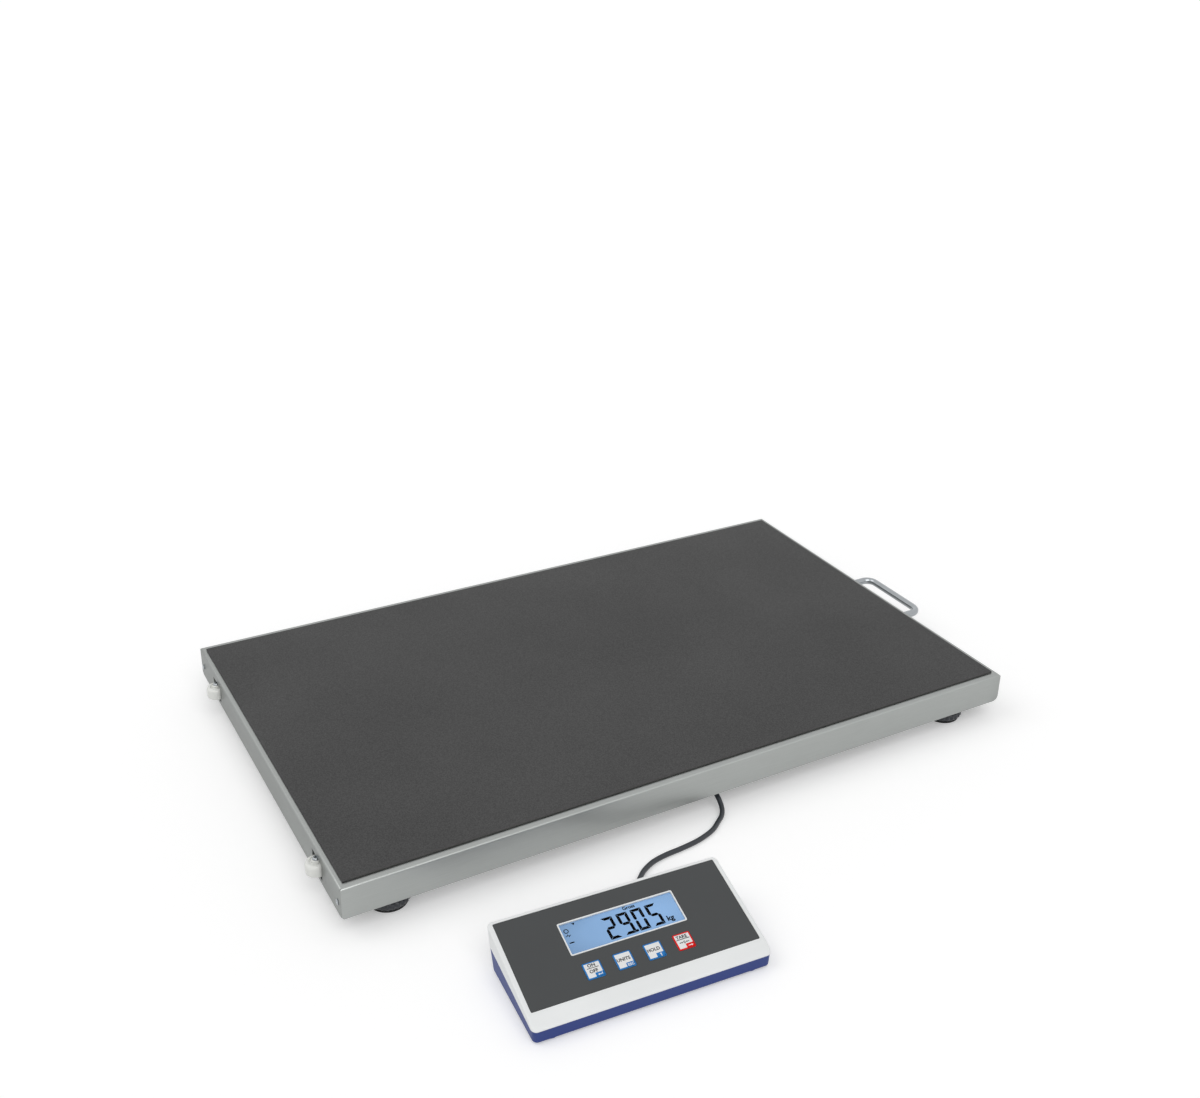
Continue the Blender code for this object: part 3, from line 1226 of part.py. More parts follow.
def circuit_board(looks, panel):
    """Board on the cover's posts, with a switch under each key."""
    bm = bmesh.new()
    low, high = -BOARD_DEPTH - BOARD_THICKNESS, -BOARD_DEPTH
    add_box(bm, (-BOARD_HALF_WIDTH, BOARD_FRONT, low), (BOARD_HALF_WIDTH, BOARD_BACK, high))
    board = piece("circuit_board", finished(bm, "circuit_board"), looks["board_green"], panel)
    switches = bmesh.new()
    half, top = SWITCH_SIZE / 2, high + SWITCH_HEIGHT
    for x in key_places():
        add_box(switches, (x - half, KEY_Y - half, high - GAP), (x + half, KEY_Y + half, top))
    shaped_by(board, "UNION", switches, "board_switches")
    holes = bmesh.new()
    hole = cylinder_profile(POST_SPIGOT_RADIUS + PIN_PLAY, low - GAP, high + GAP)
    for x, y in post_places():
        add_turned(holes, hole, 6, Matrix.Translation((x, y, 0)))
    shaped_by(board, "DIFFERENCE", holes, "board_holes")


def keys(looks, panel):
    """Keys with a lip under the cover and a stem that stops just above its switch."""
    lip_top = LCD_TOP
    lip_low = lip_top - KEY_LIP_THICKNESS
    stem_low = SWITCH_HEIGHT - BOARD_DEPTH + KEY_TRAVEL + GAP / 2
    half = KEY_SIZE / 2
    octagon = KEY_STEM_RADIUS * (2 - math.sqrt(2))
    steps = ((KEY_STEM_RADIUS, octagon, stem_low), (KEY_STEM_RADIUS, octagon, lip_low),
             (half + KEY_LIP, KEY_CORNER, lip_low), (half + KEY_LIP, KEY_CORNER, lip_top),
             (half, KEY_CORNER, lip_top), (half, KEY_CORNER, KEY_RISE - KEY_CHAMFER),
             (half - KEY_CHAMFER, KEY_CORNER, KEY_RISE))
    for name, x in zip(KEY_NAMES, key_places()):
        bm = bmesh.new()
        rings = []
        for reach, corner, z in steps:
            outline = rounded_outline(-reach, reach, -reach, reach, corner, 1)
            rings.append([(a, b, z) for a, b in outline])
        add_loft(bm, rings)
        finish = looks["key_red" if name == KEY_NAMES[-1] else "key_white"]
        piece(f"key_{name}", finished(bm, f"key_{name}"), finish, panel, (x, KEY_Y, 0))


def display_base(looks, parent):
    """Lower shell with feet, screw bosses, battery pocket, hatch slot and rear openings."""
    wall = HOUSING_WALL
    side, back = BASE_SIDE_INSET, BASE_BACK_INSET
    outer = [housing_ring(lambda y: parting_z(y) - GAP, BASE_REVEAL, 0, PARTING_BACK_INSET)]
    for angle in (0, 45, 90):
        turn = math.radians(angle)
        z = BASE_BOTTOM + BASE_EDGE * (1 - math.sin(turn))
        inset = BASE_REVEAL + BASE_EDGE * (1 - math.cos(turn))
        outer.append(housing_ring(lambda y, z=z: z, inset, side, back))
    inner = [housing_ring(lambda y: parting_z(y) - GAP, BASE_REVEAL + wall, 0, PARTING_BACK_INSET),
             housing_ring(lambda y: BASE_FLOOR, BASE_REVEAL + wall, side, back)]
    bm = bmesh.new()
    add_shell(bm, outer, inner)
    base = piece("display_base", finished(bm, "display_base"), looks["blue_plastic"], parent)

    runner_half = HATCH_HALF + TONGUE + GAP + RUNNER_WALL
    runner_top = HATCH_ROOF + RUNNER_WALL
    pocket_end = POCKET_BACK + 2 * POCKET_WALL
    added = bmesh.new()
    low_z, bump_top = BASE_FLOOR - wall / 2, BASE_BOTTOM + wall / 3
    low = (-runner_half, HATCH_FRONT - GAP - RUNNER_WALL, low_z)
    add_box(added, low, (runner_half, pocket_end, runner_top))
    bump = [(0, 0), (BUMP_TIP_RADIUS, 0), (BUMP_RADIUS, BUMP_TAPER), (BUMP_RADIUS, bump_top),
            (0, bump_top)]
    for x, y in SCREW_PLACES:
        add_turned(added, bump, FITTING_ROUND, Matrix.Translation((x, y, 0)))
        add_post(added, x, y, BASE_BOSS_RADIUS, lambda v: low_z, lambda v: parting_z(v) - GAP)
    shaped_by(base, "UNION", added, "base_bosses")
    block = bmesh.new()
    half = POCKET_HALF + POCKET_WALL
    low = (-half, POCKET_FRONT - POCKET_WALL, runner_top - RUNNER_WALL / 2)
    add_box(block, low, (half, pocket_end, POCKET_ROOF + POCKET_WALL))
    shaped_by(base, "UNION", block, "pocket_block")

    cuts = bmesh.new()
    narrow, wide = HATCH_HALF + GAP, HATCH_HALF + TONGUE + GAP
    under, step = BASE_BOTTOM / 2, HATCH_TOP - TONGUE_THICKNESS - GAP
    slot = [(-narrow, under), (narrow, under), (narrow, step), (wide, step), (wide, HATCH_ROOF),
            (-wide, HATCH_ROOF), (-wide, step), (-narrow, step)]
    add_prism(cuts, slot, HATCH_FRONT - GAP, HOUSING_BACK, "Y")
    head, shank = SCREW_HEAD_RADIUS + PIN_PLAY, SCREW_RADIUS + PIN_PLAY
    for x, y in SCREW_PLACES:
        top = parting_z(y) + wall
        bore = [(0, -wall), (head, -wall), (head, SCREW_SEAT), (shank, SCREW_SEAT), (shank, top),
                (0, top)]
        add_turned(cuts, bore, SCREW_ROUND, Matrix.Translation((x, y, 0)))
    for x, radius in ((SOCKET_X, SOCKET_RADIUS), (BOOT_X, BOOT_SHANK_RADIUS)):
        bore = cylinder_profile(radius + GAP, -2 * wall, wall)
        add_turned(cuts, bore, FITTING_ROUND, rear_fitting(x))
    shaped_by(base, "DIFFERENCE", cuts, "base_cuts")
    pocket = bmesh.new()
    add_box(pocket, (-POCKET_HALF, POCKET_FRONT, under), (POCKET_HALF, POCKET_BACK, POCKET_ROOF))
    shaped_by(base, "DIFFERENCE", pocket, "battery_pocket")


def rear_fitting(x):
    """Frame on the slanting back wall of the base: +Z points out of the wall."""
    high_y = HOUSING_BACK - BASE_REVEAL - PARTING_BACK_INSET
    low_y = HOUSING_BACK - BASE_REVEAL - BASE_BACK_INSET
    low_z = BASE_BOTTOM + BASE_EDGE
    lean = (high_y - low_y) / (parting_z(high_y) - GAP - low_z)
    y = low_y + (REAR_FITTING_Z - low_z) * lean
    turn = Matrix.Rotation(-math.pi / 2 - math.atan(lean), 4, "X")
    return Matrix.Translation((x, y, REAR_FITTING_Z)) @ turn


def boot_tip(beyond):
    """Point beyond the tip of the display's cable boot, in the platform's frame."""
    return display_place() @ rear_fitting(BOOT_X) @ Vector((0, 0, BOOT_LENGTH + beyond))


def rear_fittings(looks, parent):
    """Power socket with its centre pin, and the boot that the cable runs into."""
    face = GAP + SOCKET_FLANGE
    socket = [(0, -SOCKET_DEPTH), (SOCKET_RADIUS, -SOCKET_DEPTH), (SOCKET_RADIUS, GAP),
              (SOCKET_FLANGE_RADIUS, GAP), (SOCKET_FLANGE_RADIUS, face), (SOCKET_BORE, face),
              (SOCKET_BORE, -SOCKET_DEPTH + HOUSING_WALL), (SOCKET_PIN, -SOCKET_DEPTH + HOUSING_WALL),
              (SOCKET_PIN, 0), (0, 0)]
    root, tip = BOOT_ROOT_RADIUS, BOOT_TIP_RADIUS
    boot = [(0, -BOOT_SHANK_LENGTH), (BOOT_SHANK_RADIUS, -BOOT_SHANK_LENGTH), (BOOT_SHANK_RADIUS, GAP),
            (root, GAP), (root, BOOT_COLLAR), (tip, BOOT_LENGTH), (0, BOOT_LENGTH)]
    for name, profile, x in (("power_socket", socket, SOCKET_X), ("cable_boot", boot, BOOT_X)):
        bm = bmesh.new()
        add_turned(bm, profile, FITTING_ROUND, rear_fitting(x))
        piece(name, finished(bm, name), looks["black_plastic"], parent)


def battery_hatch(looks, parent):
    """Sliding lid of the battery pocket, with tongues along its sides and grip ridges."""
    step = HATCH_TOP - TONGUE_THICKNESS
    half, wide = HATCH_HALF, HATCH_HALF + TONGUE
    outline = [(-half, BASE_BOTTOM)]
    ridge = GRIP_RIDGE
    for k in range(GRIP_RIDGES):
        x = (k - (GRIP_RIDGES - 1) / 2) * 3 * ridge
        outline += [(x - ridge, BASE_BOTTOM), (x - ridge / 2, BASE_BOTTOM + ridge / 2),
                    (x + ridge / 2, BASE_BOTTOM + ridge / 2), (x + ridge, BASE_BOTTOM)]
    outline += [(half, BASE_BOTTOM), (half, step), (wide, step), (wide, HATCH_TOP),
                (-wide, HATCH_TOP), (-wide, step), (-half, step)]
    bm = bmesh.new()
    add_prism(bm, outline, HATCH_FRONT, HATCH_BACK, "Y")
    piece("battery_hatch", finished(bm, "battery_hatch"), looks["blue_plastic"], parent)


def battery_pack(looks, parent):
    """Row of cells in one sleeve, as a scalloped outline pulled along their length."""
    z = HATCH_ROOF + AA_RADIUS
    centres = [((k - (CELL_COUNT - 1) / 2) * AA_PITCH, z) for k in range(CELL_COUNT)]
    outline = []
    for centre in centres[1:-1]:
        outline += arc(centre, AA_RADIUS, 210, 330, 4)
    outline += arc(centres[-1], AA_RADIUS, 210, 510, 10)
    for centre in reversed(centres[1:-1]):
        outline += arc(centre, AA_RADIUS, 30, 150, 4)
    outline += arc(centres[0], AA_RADIUS, 30, 330, 10)
    middle = (POCKET_FRONT + POCKET_BACK) / 2
    bm = bmesh.new()
    add_prism(bm, outline, middle - AA_LENGTH / 2, middle + AA_LENGTH / 2, "Y")
    piece("battery_pack", finished(bm, "battery_pack"), looks["battery_sleeve"], parent)


def housing_screws(looks, parent):
    """Screws up through the feet of the base into the cover."""
    head_top = SCREW_SEAT - GAP
    head_low = head_top - SCREW_HEAD_HEIGHT
    for number, (x, y) in enumerate(SCREW_PLACES, start=1):
        top = parting_z(y) + SCREW_GRIP
        profile = [(0, head_low), (SCREW_HEAD_RADIUS, head_low), (SCREW_HEAD_RADIUS, head_top),
                   (SCREW_RADIUS, head_top), (SCREW_RADIUS, top), (0, top)]
        bm = bmesh.new()
        add_turned(bm, profile, SCREW_ROUND)
        name = f"housing_screw_{number}"
        piece(name, finished(bm, name), looks["zinc_steel"], parent, (x, y, 0))


# Assembly

def build_platform(looks, parent):
    weighing_plate(looks, parent)
    rubber_mat(looks, parent)
    rails(looks, parent)
    crossbars(looks, parent)
    load_cells(looks, parent)
    levelling_feet(looks, parent)
    rollers(looks, parent)
    roller_brackets(looks, parent)
    roller_screws(looks, parent)
    corner_rivets(looks, parent)
    handle(looks, parent)
    handle_screws(looks, parent)
    junction_box(looks, parent)
    cell_leads(looks, parent)
    signal_lead(looks, parent)
    cable_clip(looks, parent)
    signal_cable(looks, parent)


def build_display(looks, parent):
    panel = empty("panel_frame", parent, (0, 0, PANEL_CENTRE_Z), (PANEL_TILT, 0, 0))
    display_cover(looks, parent, panel)
    display_base(looks, parent)
    panel_foil(looks, panel)
    window_and_lcd(looks, panel)
    circuit_board(looks, panel)
    keys(looks, panel)
    rear_fittings(looks, parent)
    battery_hatch(looks, parent)
    battery_pack(looks, parent)
    housing_screws(looks, parent)


def middle_of_outline():
    """Middle of the whole object's plan outline, the free cable left out."""
    left = ROLLER_X - ROLLER_RADIUS
    right = PLATE_LENGTH / 2 + HANDLE_REACH + HANDLE_ROD_RADIUS
    front = min((display_place() @ Vector(point)).y for point in housing_ring(top_z))
    return ((left + right) / 2, (front + PLATE_WIDTH / 2) / 2, 0)


def clear_scene():
    for old in list(bpy.data.objects):
        bpy.data.objects.remove(old, do_unlink=True)


def main():
    clear_scene()
    looks = finishes()
    scale = empty("livestock_scale", None, -Vector(middle_of_outline()))
    platform = empty("platform_frame", scale)
    build_platform(looks, platform)
    display = empty("display_frame", scale, (DISPLAY_X, DISPLAY_Y, 0), (0, 0, DISPLAY_YAW))
    build_display(looks, display)


if __name__ == "__main__":
    main()
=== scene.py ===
"""Looks of a low livestock platform scale with a display unit on a cable.

The file is laid out as an add-on: property groups hold the sizes and colours, each operator
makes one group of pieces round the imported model, and a panel in the sidebar lists them.
Metres, +Z up, long side along X, handle at +X.
"""

import json
import math

import bmesh
import bpy
import numpy as np
from bpy.props import FloatProperty, FloatVectorProperty, IntProperty, PointerProperty
from mathutils import Matrix, Vector


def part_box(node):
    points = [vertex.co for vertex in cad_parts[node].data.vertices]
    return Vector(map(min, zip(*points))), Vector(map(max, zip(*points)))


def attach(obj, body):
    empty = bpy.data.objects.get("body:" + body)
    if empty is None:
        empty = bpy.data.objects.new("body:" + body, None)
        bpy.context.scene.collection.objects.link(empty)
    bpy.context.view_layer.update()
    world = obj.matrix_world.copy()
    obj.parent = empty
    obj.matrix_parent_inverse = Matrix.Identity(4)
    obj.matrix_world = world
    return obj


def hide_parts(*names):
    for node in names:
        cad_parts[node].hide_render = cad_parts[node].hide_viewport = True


bl_info = {
    "name": "Livestock Platform Scale",
    "version": (1, 0, 0),
    "blender": (4, 5, 0),
    "location": "View3D > Sidebar > Scale",
    "description": "Surfaces and finishes of a platform scale with a display unit",
    "category": "Object",
}

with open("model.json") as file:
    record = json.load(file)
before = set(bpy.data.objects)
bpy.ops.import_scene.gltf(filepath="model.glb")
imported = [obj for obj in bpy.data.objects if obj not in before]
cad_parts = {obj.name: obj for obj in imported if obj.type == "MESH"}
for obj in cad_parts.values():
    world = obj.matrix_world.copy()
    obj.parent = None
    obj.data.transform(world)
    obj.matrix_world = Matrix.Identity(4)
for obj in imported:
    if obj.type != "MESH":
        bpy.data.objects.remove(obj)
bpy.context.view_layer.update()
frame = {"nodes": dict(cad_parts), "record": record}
NODES = frame["nodes"]

# Sizes shared with the construction
GAP = 0.0003
SHEET = 0.0015
FOLD_GAP = 0.0005
CORNER_LEG = 0.022
CORNER_RAISE = 0.0035
CORNER_DROP = 0.007
STUD_RADIUS = 0.005
SOLE_HEIGHT = 0.003
DISPLAY_FROM_MIDDLE = (-0.2096, -0.4479)
DISPLAY_YAW = math.radians(-4.3)
HOUSING_HALF = 0.1305
HOUSING_FRONT = -0.0625
HOUSING_BACK = 0.0625
HOUSING_CORNER = 0.006
HOUSING_WALL = 0.0022
PANEL_CENTRE_Z = 0.0358
PANEL_TILT = math.radians(12.9)
CREASE_Y = HOUSING_FRONT + 0.0145
FRONT_BAND_SLOPE = math.tan(math.radians(25.0))
PARTING_CENTRE_Z = 0.0225
PARTING_SLOPE = 0.106
PARTING_BACK_INSET = 0.0055
BASE_BOTTOM = 0.0025
BASE_BACK_INSET = 0.0115
BASE_SIDE_INSET = 0.001
BASE_EDGE = 0.0014
BASE_REVEAL = 0.0004
SCREW_X = 0.109
SCREW_DEPTHS = (-0.0525, 0.038)
FOIL_HALF_WIDTH = 0.125
FOIL_FRONT = CREASE_Y / math.cos(PANEL_TILT) + 0.0027
FOIL_BACK = HOUSING_BACK / math.cos(PANEL_TILT) - 0.0042
FOIL_THICKNESS = 0.0008
LCD_TOP = -(HOUSING_WALL * math.cos(PANEL_TILT) + GAP)
KEY_HALF = 0.0095
KEY_PITCH = 0.0332
KEY_FIRST_X = -0.0501
KEY_Y = -0.0233
KEY_RISE = 0.0004
KEY_NAMES = ("power", "unit", "hold", "zero")
REAR_FITTING_Z = 0.014
SOCKET_X = -0.080
BOOT_X = 0.056
BOOT_LENGTH = 0.016
CABLE_X = 0.012
CABLE_CLIP_BORE_DROP = 0.0047
CABLE_RADIUS = 0.003
CABLE_END_RUN = 0.006
CORNERS = ("front_left", "front_right", "back_left", "back_right")

# Sizes that the photograph shows otherwise than the construction has them
ROLLER_TALLER = 0.0026
MAT_SHORTER = 0.0014
WINDOW_HALF_WIDTH = 0.0632
WINDOW_FRONT = 0.0002
WINDOW_BACK = 0.0372
RIM_WIDTH = 0.0014

# Sizes made here only
KEY_CORNER = 0.0015
KEY_EDGE = 0.00035
BORDER_WIDTH = 0.0014
PRINT = 0.00003
LCD_GLASS = 0.0006
FIGURE_THICKNESS = 0.00004

# Points of the free cable's way, its depth counted from the plate's front edge
CABLE_ROUTE = (
    (0.0123, 0.0330, 0.0292),
    (0.0128, 0.0240, 0.0250),
    (0.0134, 0.0155, 0.0196),
    (0.0138, 0.0075, 0.0146),
    (0.0132, -0.0005, 0.0101),
    (0.0105, -0.0085, 0.0066),
    (0.0055, -0.0150, 0.0043),
    (-0.0028, -0.0212, 0.0033),
    (-0.0187, -0.0320, 0.0031),
    (-0.0414, -0.0396, 0.0031),
    (-0.0656, -0.0430, 0.0031),
    (-0.0889, -0.0446, 0.0031),
    (-0.1078, -0.0484, 0.0031),
    (-0.1234, -0.0560, 0.0031),
    (-0.1325, -0.0635, 0.0031),
    (-0.1405, -0.0715, 0.0031),
    (-0.1463, -0.0800, 0.0037),
    (-0.1488, -0.0880, 0.0052),
    (-0.1494, -0.0955, 0.0072),
)

# Camera turned by these degrees, and where its lens axis meets the photograph, in pixels
CAMERA_TURN = (65.493, -1.488, -30.197)
IMAGE_SIZE = (1200, 1098)
LENS_AXIS = (640.05, 511.87)

# Places that follow from the frame
PLATE_LOW, PLATE_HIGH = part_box("weighing_plate")
MIDDLE = Vector(((PLATE_LOW.x + PLATE_HIGH.x) / 2, (PLATE_LOW.y + PLATE_HIGH.y) / 2, 0))
PLATE_HALF = (PLATE_HIGH - PLATE_LOW) / 2
DISPLAY = (Matrix.Translation(MIDDLE + Vector((*DISPLAY_FROM_MIDDLE, 0)))
           @ Matrix.Rotation(DISPLAY_YAW, 4, "Z"))
PANEL = DISPLAY @ Matrix.Translation((0, 0, PANEL_CENTRE_Z)) @ Matrix.Rotation(PANEL_TILT, 4, "X")


# Sizes and colours that a user would change

def linear(code):
    """Linear RGB of an sRGB hex value: c / 12.92 up to 0.04045, ((c + 0.055) / 1.055) ^ 2.4 above."""
    srgb = [int(code[k:k + 2], 16) / 255 for k in (1, 3, 5)]
    return tuple(c / 12.92 if c <= 0.04045 else ((c + 0.055) / 1.055) ** 2.4 for c in srgb)


def size(name, description, default):
    return FloatProperty(name=name, description=description, default=default, min=0, unit="LENGTH")


def place(name, description, default):
    return FloatProperty(name=name, description=description, default=default, unit="LENGTH")


def colour(name, description, code):
    return FloatVectorProperty(name=name, description=description, default=linear(code),
                               min=0, max=1, size=3, subtype="COLOR")


class SteelSettings(bpy.types.PropertyGroup):
    """Tray, rails, handle and fasteners"""
    bend: size("Bend radius", "Outer radius of the tray's folds", 0.0022)
    edge: size("Sheet edge", "Rounding of the sheet's deburred edges", 0.0003)
    corner_left: size("Left apron corner", "Radius of the lower corners at the roller end", 0.003)
    corner_right: size("Right apron corner", "Radius of the lower corners at the handle end", 0.008)
    handle_bend: size("Handle bend", "Radius of the handle's corners", 0.014)
    sheet_colour: colour("Sheet", "Brushed stainless sheet", "#abaeac")
    rod_colour: colour("Rod", "Polished stainless rod and screws", "#a5a9ac")
    zinc_colour: colour("Zinc", "Zinc-plated fasteners", "#b9bcc0")
    cell_colour: colour("Load cell", "Anodised aluminium", "#c9cbcf")


class RubberSettings(bpy.types.PropertyGroup):
    """Mat and soles"""
    mat_edge: size("Mat edge", "Rounding of the mat's upper edge", 0.0011)
    grain: size("Mat grain", "Width of one grain of the mat's surface", 0.0011)
    mat_colour: colour("Mat", "Rubber mat", "#3c3c3c")
    sole_colour: colour("Sole", "Rubber soles", "#1b1c1d")


class FootSettings(bpy.types.PropertyGroup):
    """Levelling feet and rollers"""
    flutes: IntProperty(name="Flutes", description="Grip flutes round a levelling wheel", default=24, min=6)
    flute_depth: size("Flute depth", "Depth of a flute", 0.0013)
    thread_pitch: size("Thread pitch", "Rise of the stud's thread in a turn", 0.0015)
    wheel_colour: colour("Wheel", "Glass-filled nylon", "#2a2d33")
    roller_colour: colour("Roller", "Natural nylon", "#e2e3df")


class CableSettings(bpy.types.PropertyGroup):
    """Free cable and its boot"""
    ribs: IntProperty(name="Boot ribs", description="Ribs of the cable boot", default=5, min=1)
    jacket_colour: colour("Jacket", "PVC cable jacket", "#2b2f35")
    black_colour: colour("Black parts", "Boot, socket and clip", "#1d1e20")


class DisplaySettings(bpy.types.PropertyGroup):
    """Display unit"""
    edge: size("Cover edge", "Rounding of the cover's upper edge", 0.0016)
    digit_height: size("Digit height", "Height of the digits", 0.0269)
    digit_stroke: size("Digit stroke", "Thickness of a digit's bars", 0.0032)
    cover_colour: colour("Cover", "White ABS", "#eceeee")
    base_colour: colour("Base", "Blue ABS", "#10307a")
    foil_colour: colour("Foil", "Printed panel film", "#434546")
    glass_colour: colour("Glass", "Backlit glass of the display", "#86add9")
    digit_colour: colour("Digits", "Dark segments", "#07080a")
    key_colour: colour("Keys", "White of the keys", "#eaebeb")
    blue_ink: colour("Blue ink", "Print of the first three keys", "#2077be")
    red_ink: colour("Red ink", "Print of the last key", "#e20f0b")
    text_ink: colour("Text ink", "Words on the keys", "#1d1f22")
    box_colour: colour("Junction box", "Grey ABS", "#b7babb")


class StageSettings(bpy.types.PropertyGroup):
    """Floor, lights and camera"""
    floor_colour: colour("Floor", "Pale floor", "#f2f2f2")
    camera_x: place("Camera X", "Camera from the platform's middle, along it", -0.7785)
    camera_y: place("Camera Y", "Camera from the platform's middle, across it", -1.3951)
    camera_z: place("Camera Z", "Camera height over the floor", 1.0085)
    lens: size("Lens", "Focal length on a sensor 36 mm wide", 0.04206)


GROUPS = {"steel": SteelSettings, "rubber": RubberSettings, "foot": FootSettings,
          "cable": CableSettings, "display": DisplaySettings, "stage": StageSettings}


class ScaleSettings(bpy.types.PropertyGroup):
    """All settings of the platform scale"""
    steel: PointerProperty(type=SteelSettings)
    rubber: PointerProperty(type=RubberSettings)
    foot: PointerProperty(type=FootSettings)
    cable: PointerProperty(type=CableSettings)
    display: PointerProperty(type=DisplaySettings)
    stage: PointerProperty(type=StageSettings)


# Surfaces: each is a pair of points and faces

def quads(rows, columns, wrap=False):
    """Faces of a grid of points numbered row by row; wrap joins its last column to its first."""
    row = np.arange(rows - 1)[:, None] * columns
    here = np.arange(columns if wrap else columns - 1)
    there = (here + 1) % columns
    faces = np.stack([row + here, row + there, row + columns + there, row + columns + here], -1)
    return faces.reshape(-1, 4)


def skin(rings):
    """Closed skin over (ring, point, xyz): faces from ring to ring, a flat face at each end."""
    rows, columns = rings.shape[:2]
    end = np.arange(columns)
    faces = [*quads(rows, columns, True).tolist(), end[::-1].tolist(),
             (end + (rows - 1) * columns).tolist()]
    return rings.reshape(-1, 3), faces


def full_turn(steps):
    return np.linspace(0, 2 * math.pi, steps, endpoint=False)


def around(reach, height, angle):
    """Closed skin of rings round Z: (reach cos a, reach sin a, height) for angles a."""
    return skin(np.stack([reach * np.cos(angle), reach * np.sin(angle), height + 0 * angle], -1))


def turned(profile, steps=48):
    """Profile of (radius, height) turned round Z."""
    radius, height = np.asarray(profile, float).T[..., None]
    return around(radius, height, full_turn(steps))


def swept(section, path):
    """Section of (a, b) carried along a path: p + a * side + b * lift, where side is the way
    crossed with up and lift is square to both."""
    way = np.gradient(path, axis=0)
    way /= np.linalg.norm(way, axis=1)[:, None]
    side = np.cross(way, (0, 0, 1))
    side /= np.linalg.norm(side, axis=1)[:, None]
    lift = np.cross(side, way)
    a, b = section.T[..., None]
    return skin(path[:, None] + a * side[:, None] + b * lift[:, None])


def circle(radius, steps):
    angle = full_turn(steps)
    return np.stack([radius * np.cos(angle), radius * np.sin(angle)], -1)


def quarter(radius, start, steps=6):
    """Points of a quarter circle round the origin, from a start angle in degrees."""
    angle = np.radians(np.linspace(start, start + 90, steps + 1))
    return radius * np.stack([np.cos(angle), np.sin(angle)], -1)


def rounded_rings(sides, radius, insets, stops=(), steps=8):
    """Rounded rectangles shrunk by insets: corner centre + (radius - inset) (cos a, sin a).
    Stops are depths that get a point on both straight sides."""
    left, right, front, back = sides
    x0, x1, y0, y1 = left + radius, right - radius, front + radius, back - radius
    turn = np.radians(np.linspace(0, 90, steps + 1))
    stops = np.asarray(stops, float)
    flat, corner = np.zeros(len(stops)), np.ones(steps + 1)
    angle = np.concatenate([turn - math.pi / 2, flat, turn, turn + math.pi / 2,
                            flat + math.pi, turn + math.pi])
    x = np.concatenate([x1 * corner, flat + x1, x1 * corner, x0 * corner, flat + x0, x0 * corner])
    y = np.concatenate([y0 * corner, stops, y1 * corner, y1 * corner, stops[::-1], y0 * corner])
    reach = radius - np.asarray(insets, float)[:, None]
    return np.stack([x + reach * np.cos(angle), y + reach * np.sin(angle)], -1)


def levelled(sides, radius, levels, steps):
    """Rounded rectangles as (ring, point, xyz), one for each (inset, height) level."""
    levels = np.asarray(levels, float)
    rings = rounded_rings(sides, radius, levels[:, 0], steps=steps)
    heights = np.broadcast_to(levels[:, 1, None, None], (*rings.shape[:2], 1))
    return np.concatenate([rings, heights], -1)


def slab(sides, radius, levels, steps=8):
    """Rounded slab with vertical sides, through the (inset, height) levels."""
    return skin(levelled(sides, radius, levels, steps))


def frame_ring(sides, radius, levels):
    """Rounded frame whose section runs through the levels and back to the first."""
    rings = levelled(sides, radius, [*levels, levels[0]], 5)
    return rings.reshape(-1, 3), quads(*rings.shape[:2], True).tolist()


def prism(outline, low, high):
    """Outline of (x, y) points pulled straight up from low to high."""
    outline = np.asarray(outline, float)
    rings = [np.column_stack([outline, np.full(len(outline), z)]) for z in (low, high)]
    return skin(np.stack(rings))


def placed(surface, matrix):
    """The surface with each point p at M p."""
    points, faces = surface
    matrix = np.array(matrix)
    return points @ matrix[:3, :3].T + matrix[:3, 3], faces


def smooth_route(points, spacing):
    """Even points on a Catmull-Rom curve: half of 2b + (c - a)t + (2a - 5b + 4c - d)t^2 +
    (3b - a - 3c + d)t^3 for each four neighbours a, b, c, d, with t from 0 to 1."""
    route = np.asarray(points, float)
    padded = np.vstack([2 * route[0] - route[1], route, 2 * route[-1] - route[-2]])
    a, b, c, d = padded[:-3, None], padded[1:-2, None], padded[2:-1, None], padded[3:, None]
    t = np.linspace(0, 1, 24, endpoint=False)[:, None]
    bend = (2 * a - 5 * b + 4 * c - d) * t**2 + (3 * b - a - 3 * c + d) * t**3
    fine = np.vstack([(0.5 * (2 * b + (c - a) * t + bend)).reshape(-1, 3), route[-1:]])
    along = np.concatenate([[0], np.cumsum(np.linalg.norm(np.diff(fine, axis=0), axis=1))])
    stops = np.linspace(0, along[-1], round(along[-1] / spacing) + 1)
    return np.stack([np.interp(stops, along, fine[:, k]) for k in range(3)], 1)


# Objects

def mesh_object(name, surfaces):
    """One mesh of all the surfaces, with doubles merged and faces pointing outwards."""
    points, faces, first = [], [], 0
    for surface, corners in surfaces:
        points.append(surface)
        faces += [[first + i for i in face] for face in corners]
        first += len(surface)
    mesh = bpy.data.meshes.new(name)
    mesh.from_pydata(np.vstack(points).tolist(), [], faces)
    bm = bmesh.new()
    bm.from_mesh(mesh)
    bmesh.ops.remove_doubles(bm, verts=bm.verts, dist=1e-6)
    bmesh.ops.recalc_face_normals(bm, faces=bm.faces)
    bm.to_mesh(mesh)
    bm.free()
    made = bpy.data.objects.new(name, mesh)
    bpy.context.scene.collection.objects.link(made)
    return made


def evaluated_mesh(made):
    """Mesh of an object with its modifiers applied."""
    bpy.context.view_layer.update()
    graph = bpy.context.evaluated_depsgraph_get()
    return bpy.data.meshes.new_from_object(made.evaluated_get(graph))


def surface_of(mesh):
    points = np.empty(len(mesh.vertices) * 3)
    mesh.vertices.foreach_get("co", points)
    return points.reshape(-1, 3), [list(polygon.vertices) for polygon in mesh.polygons]


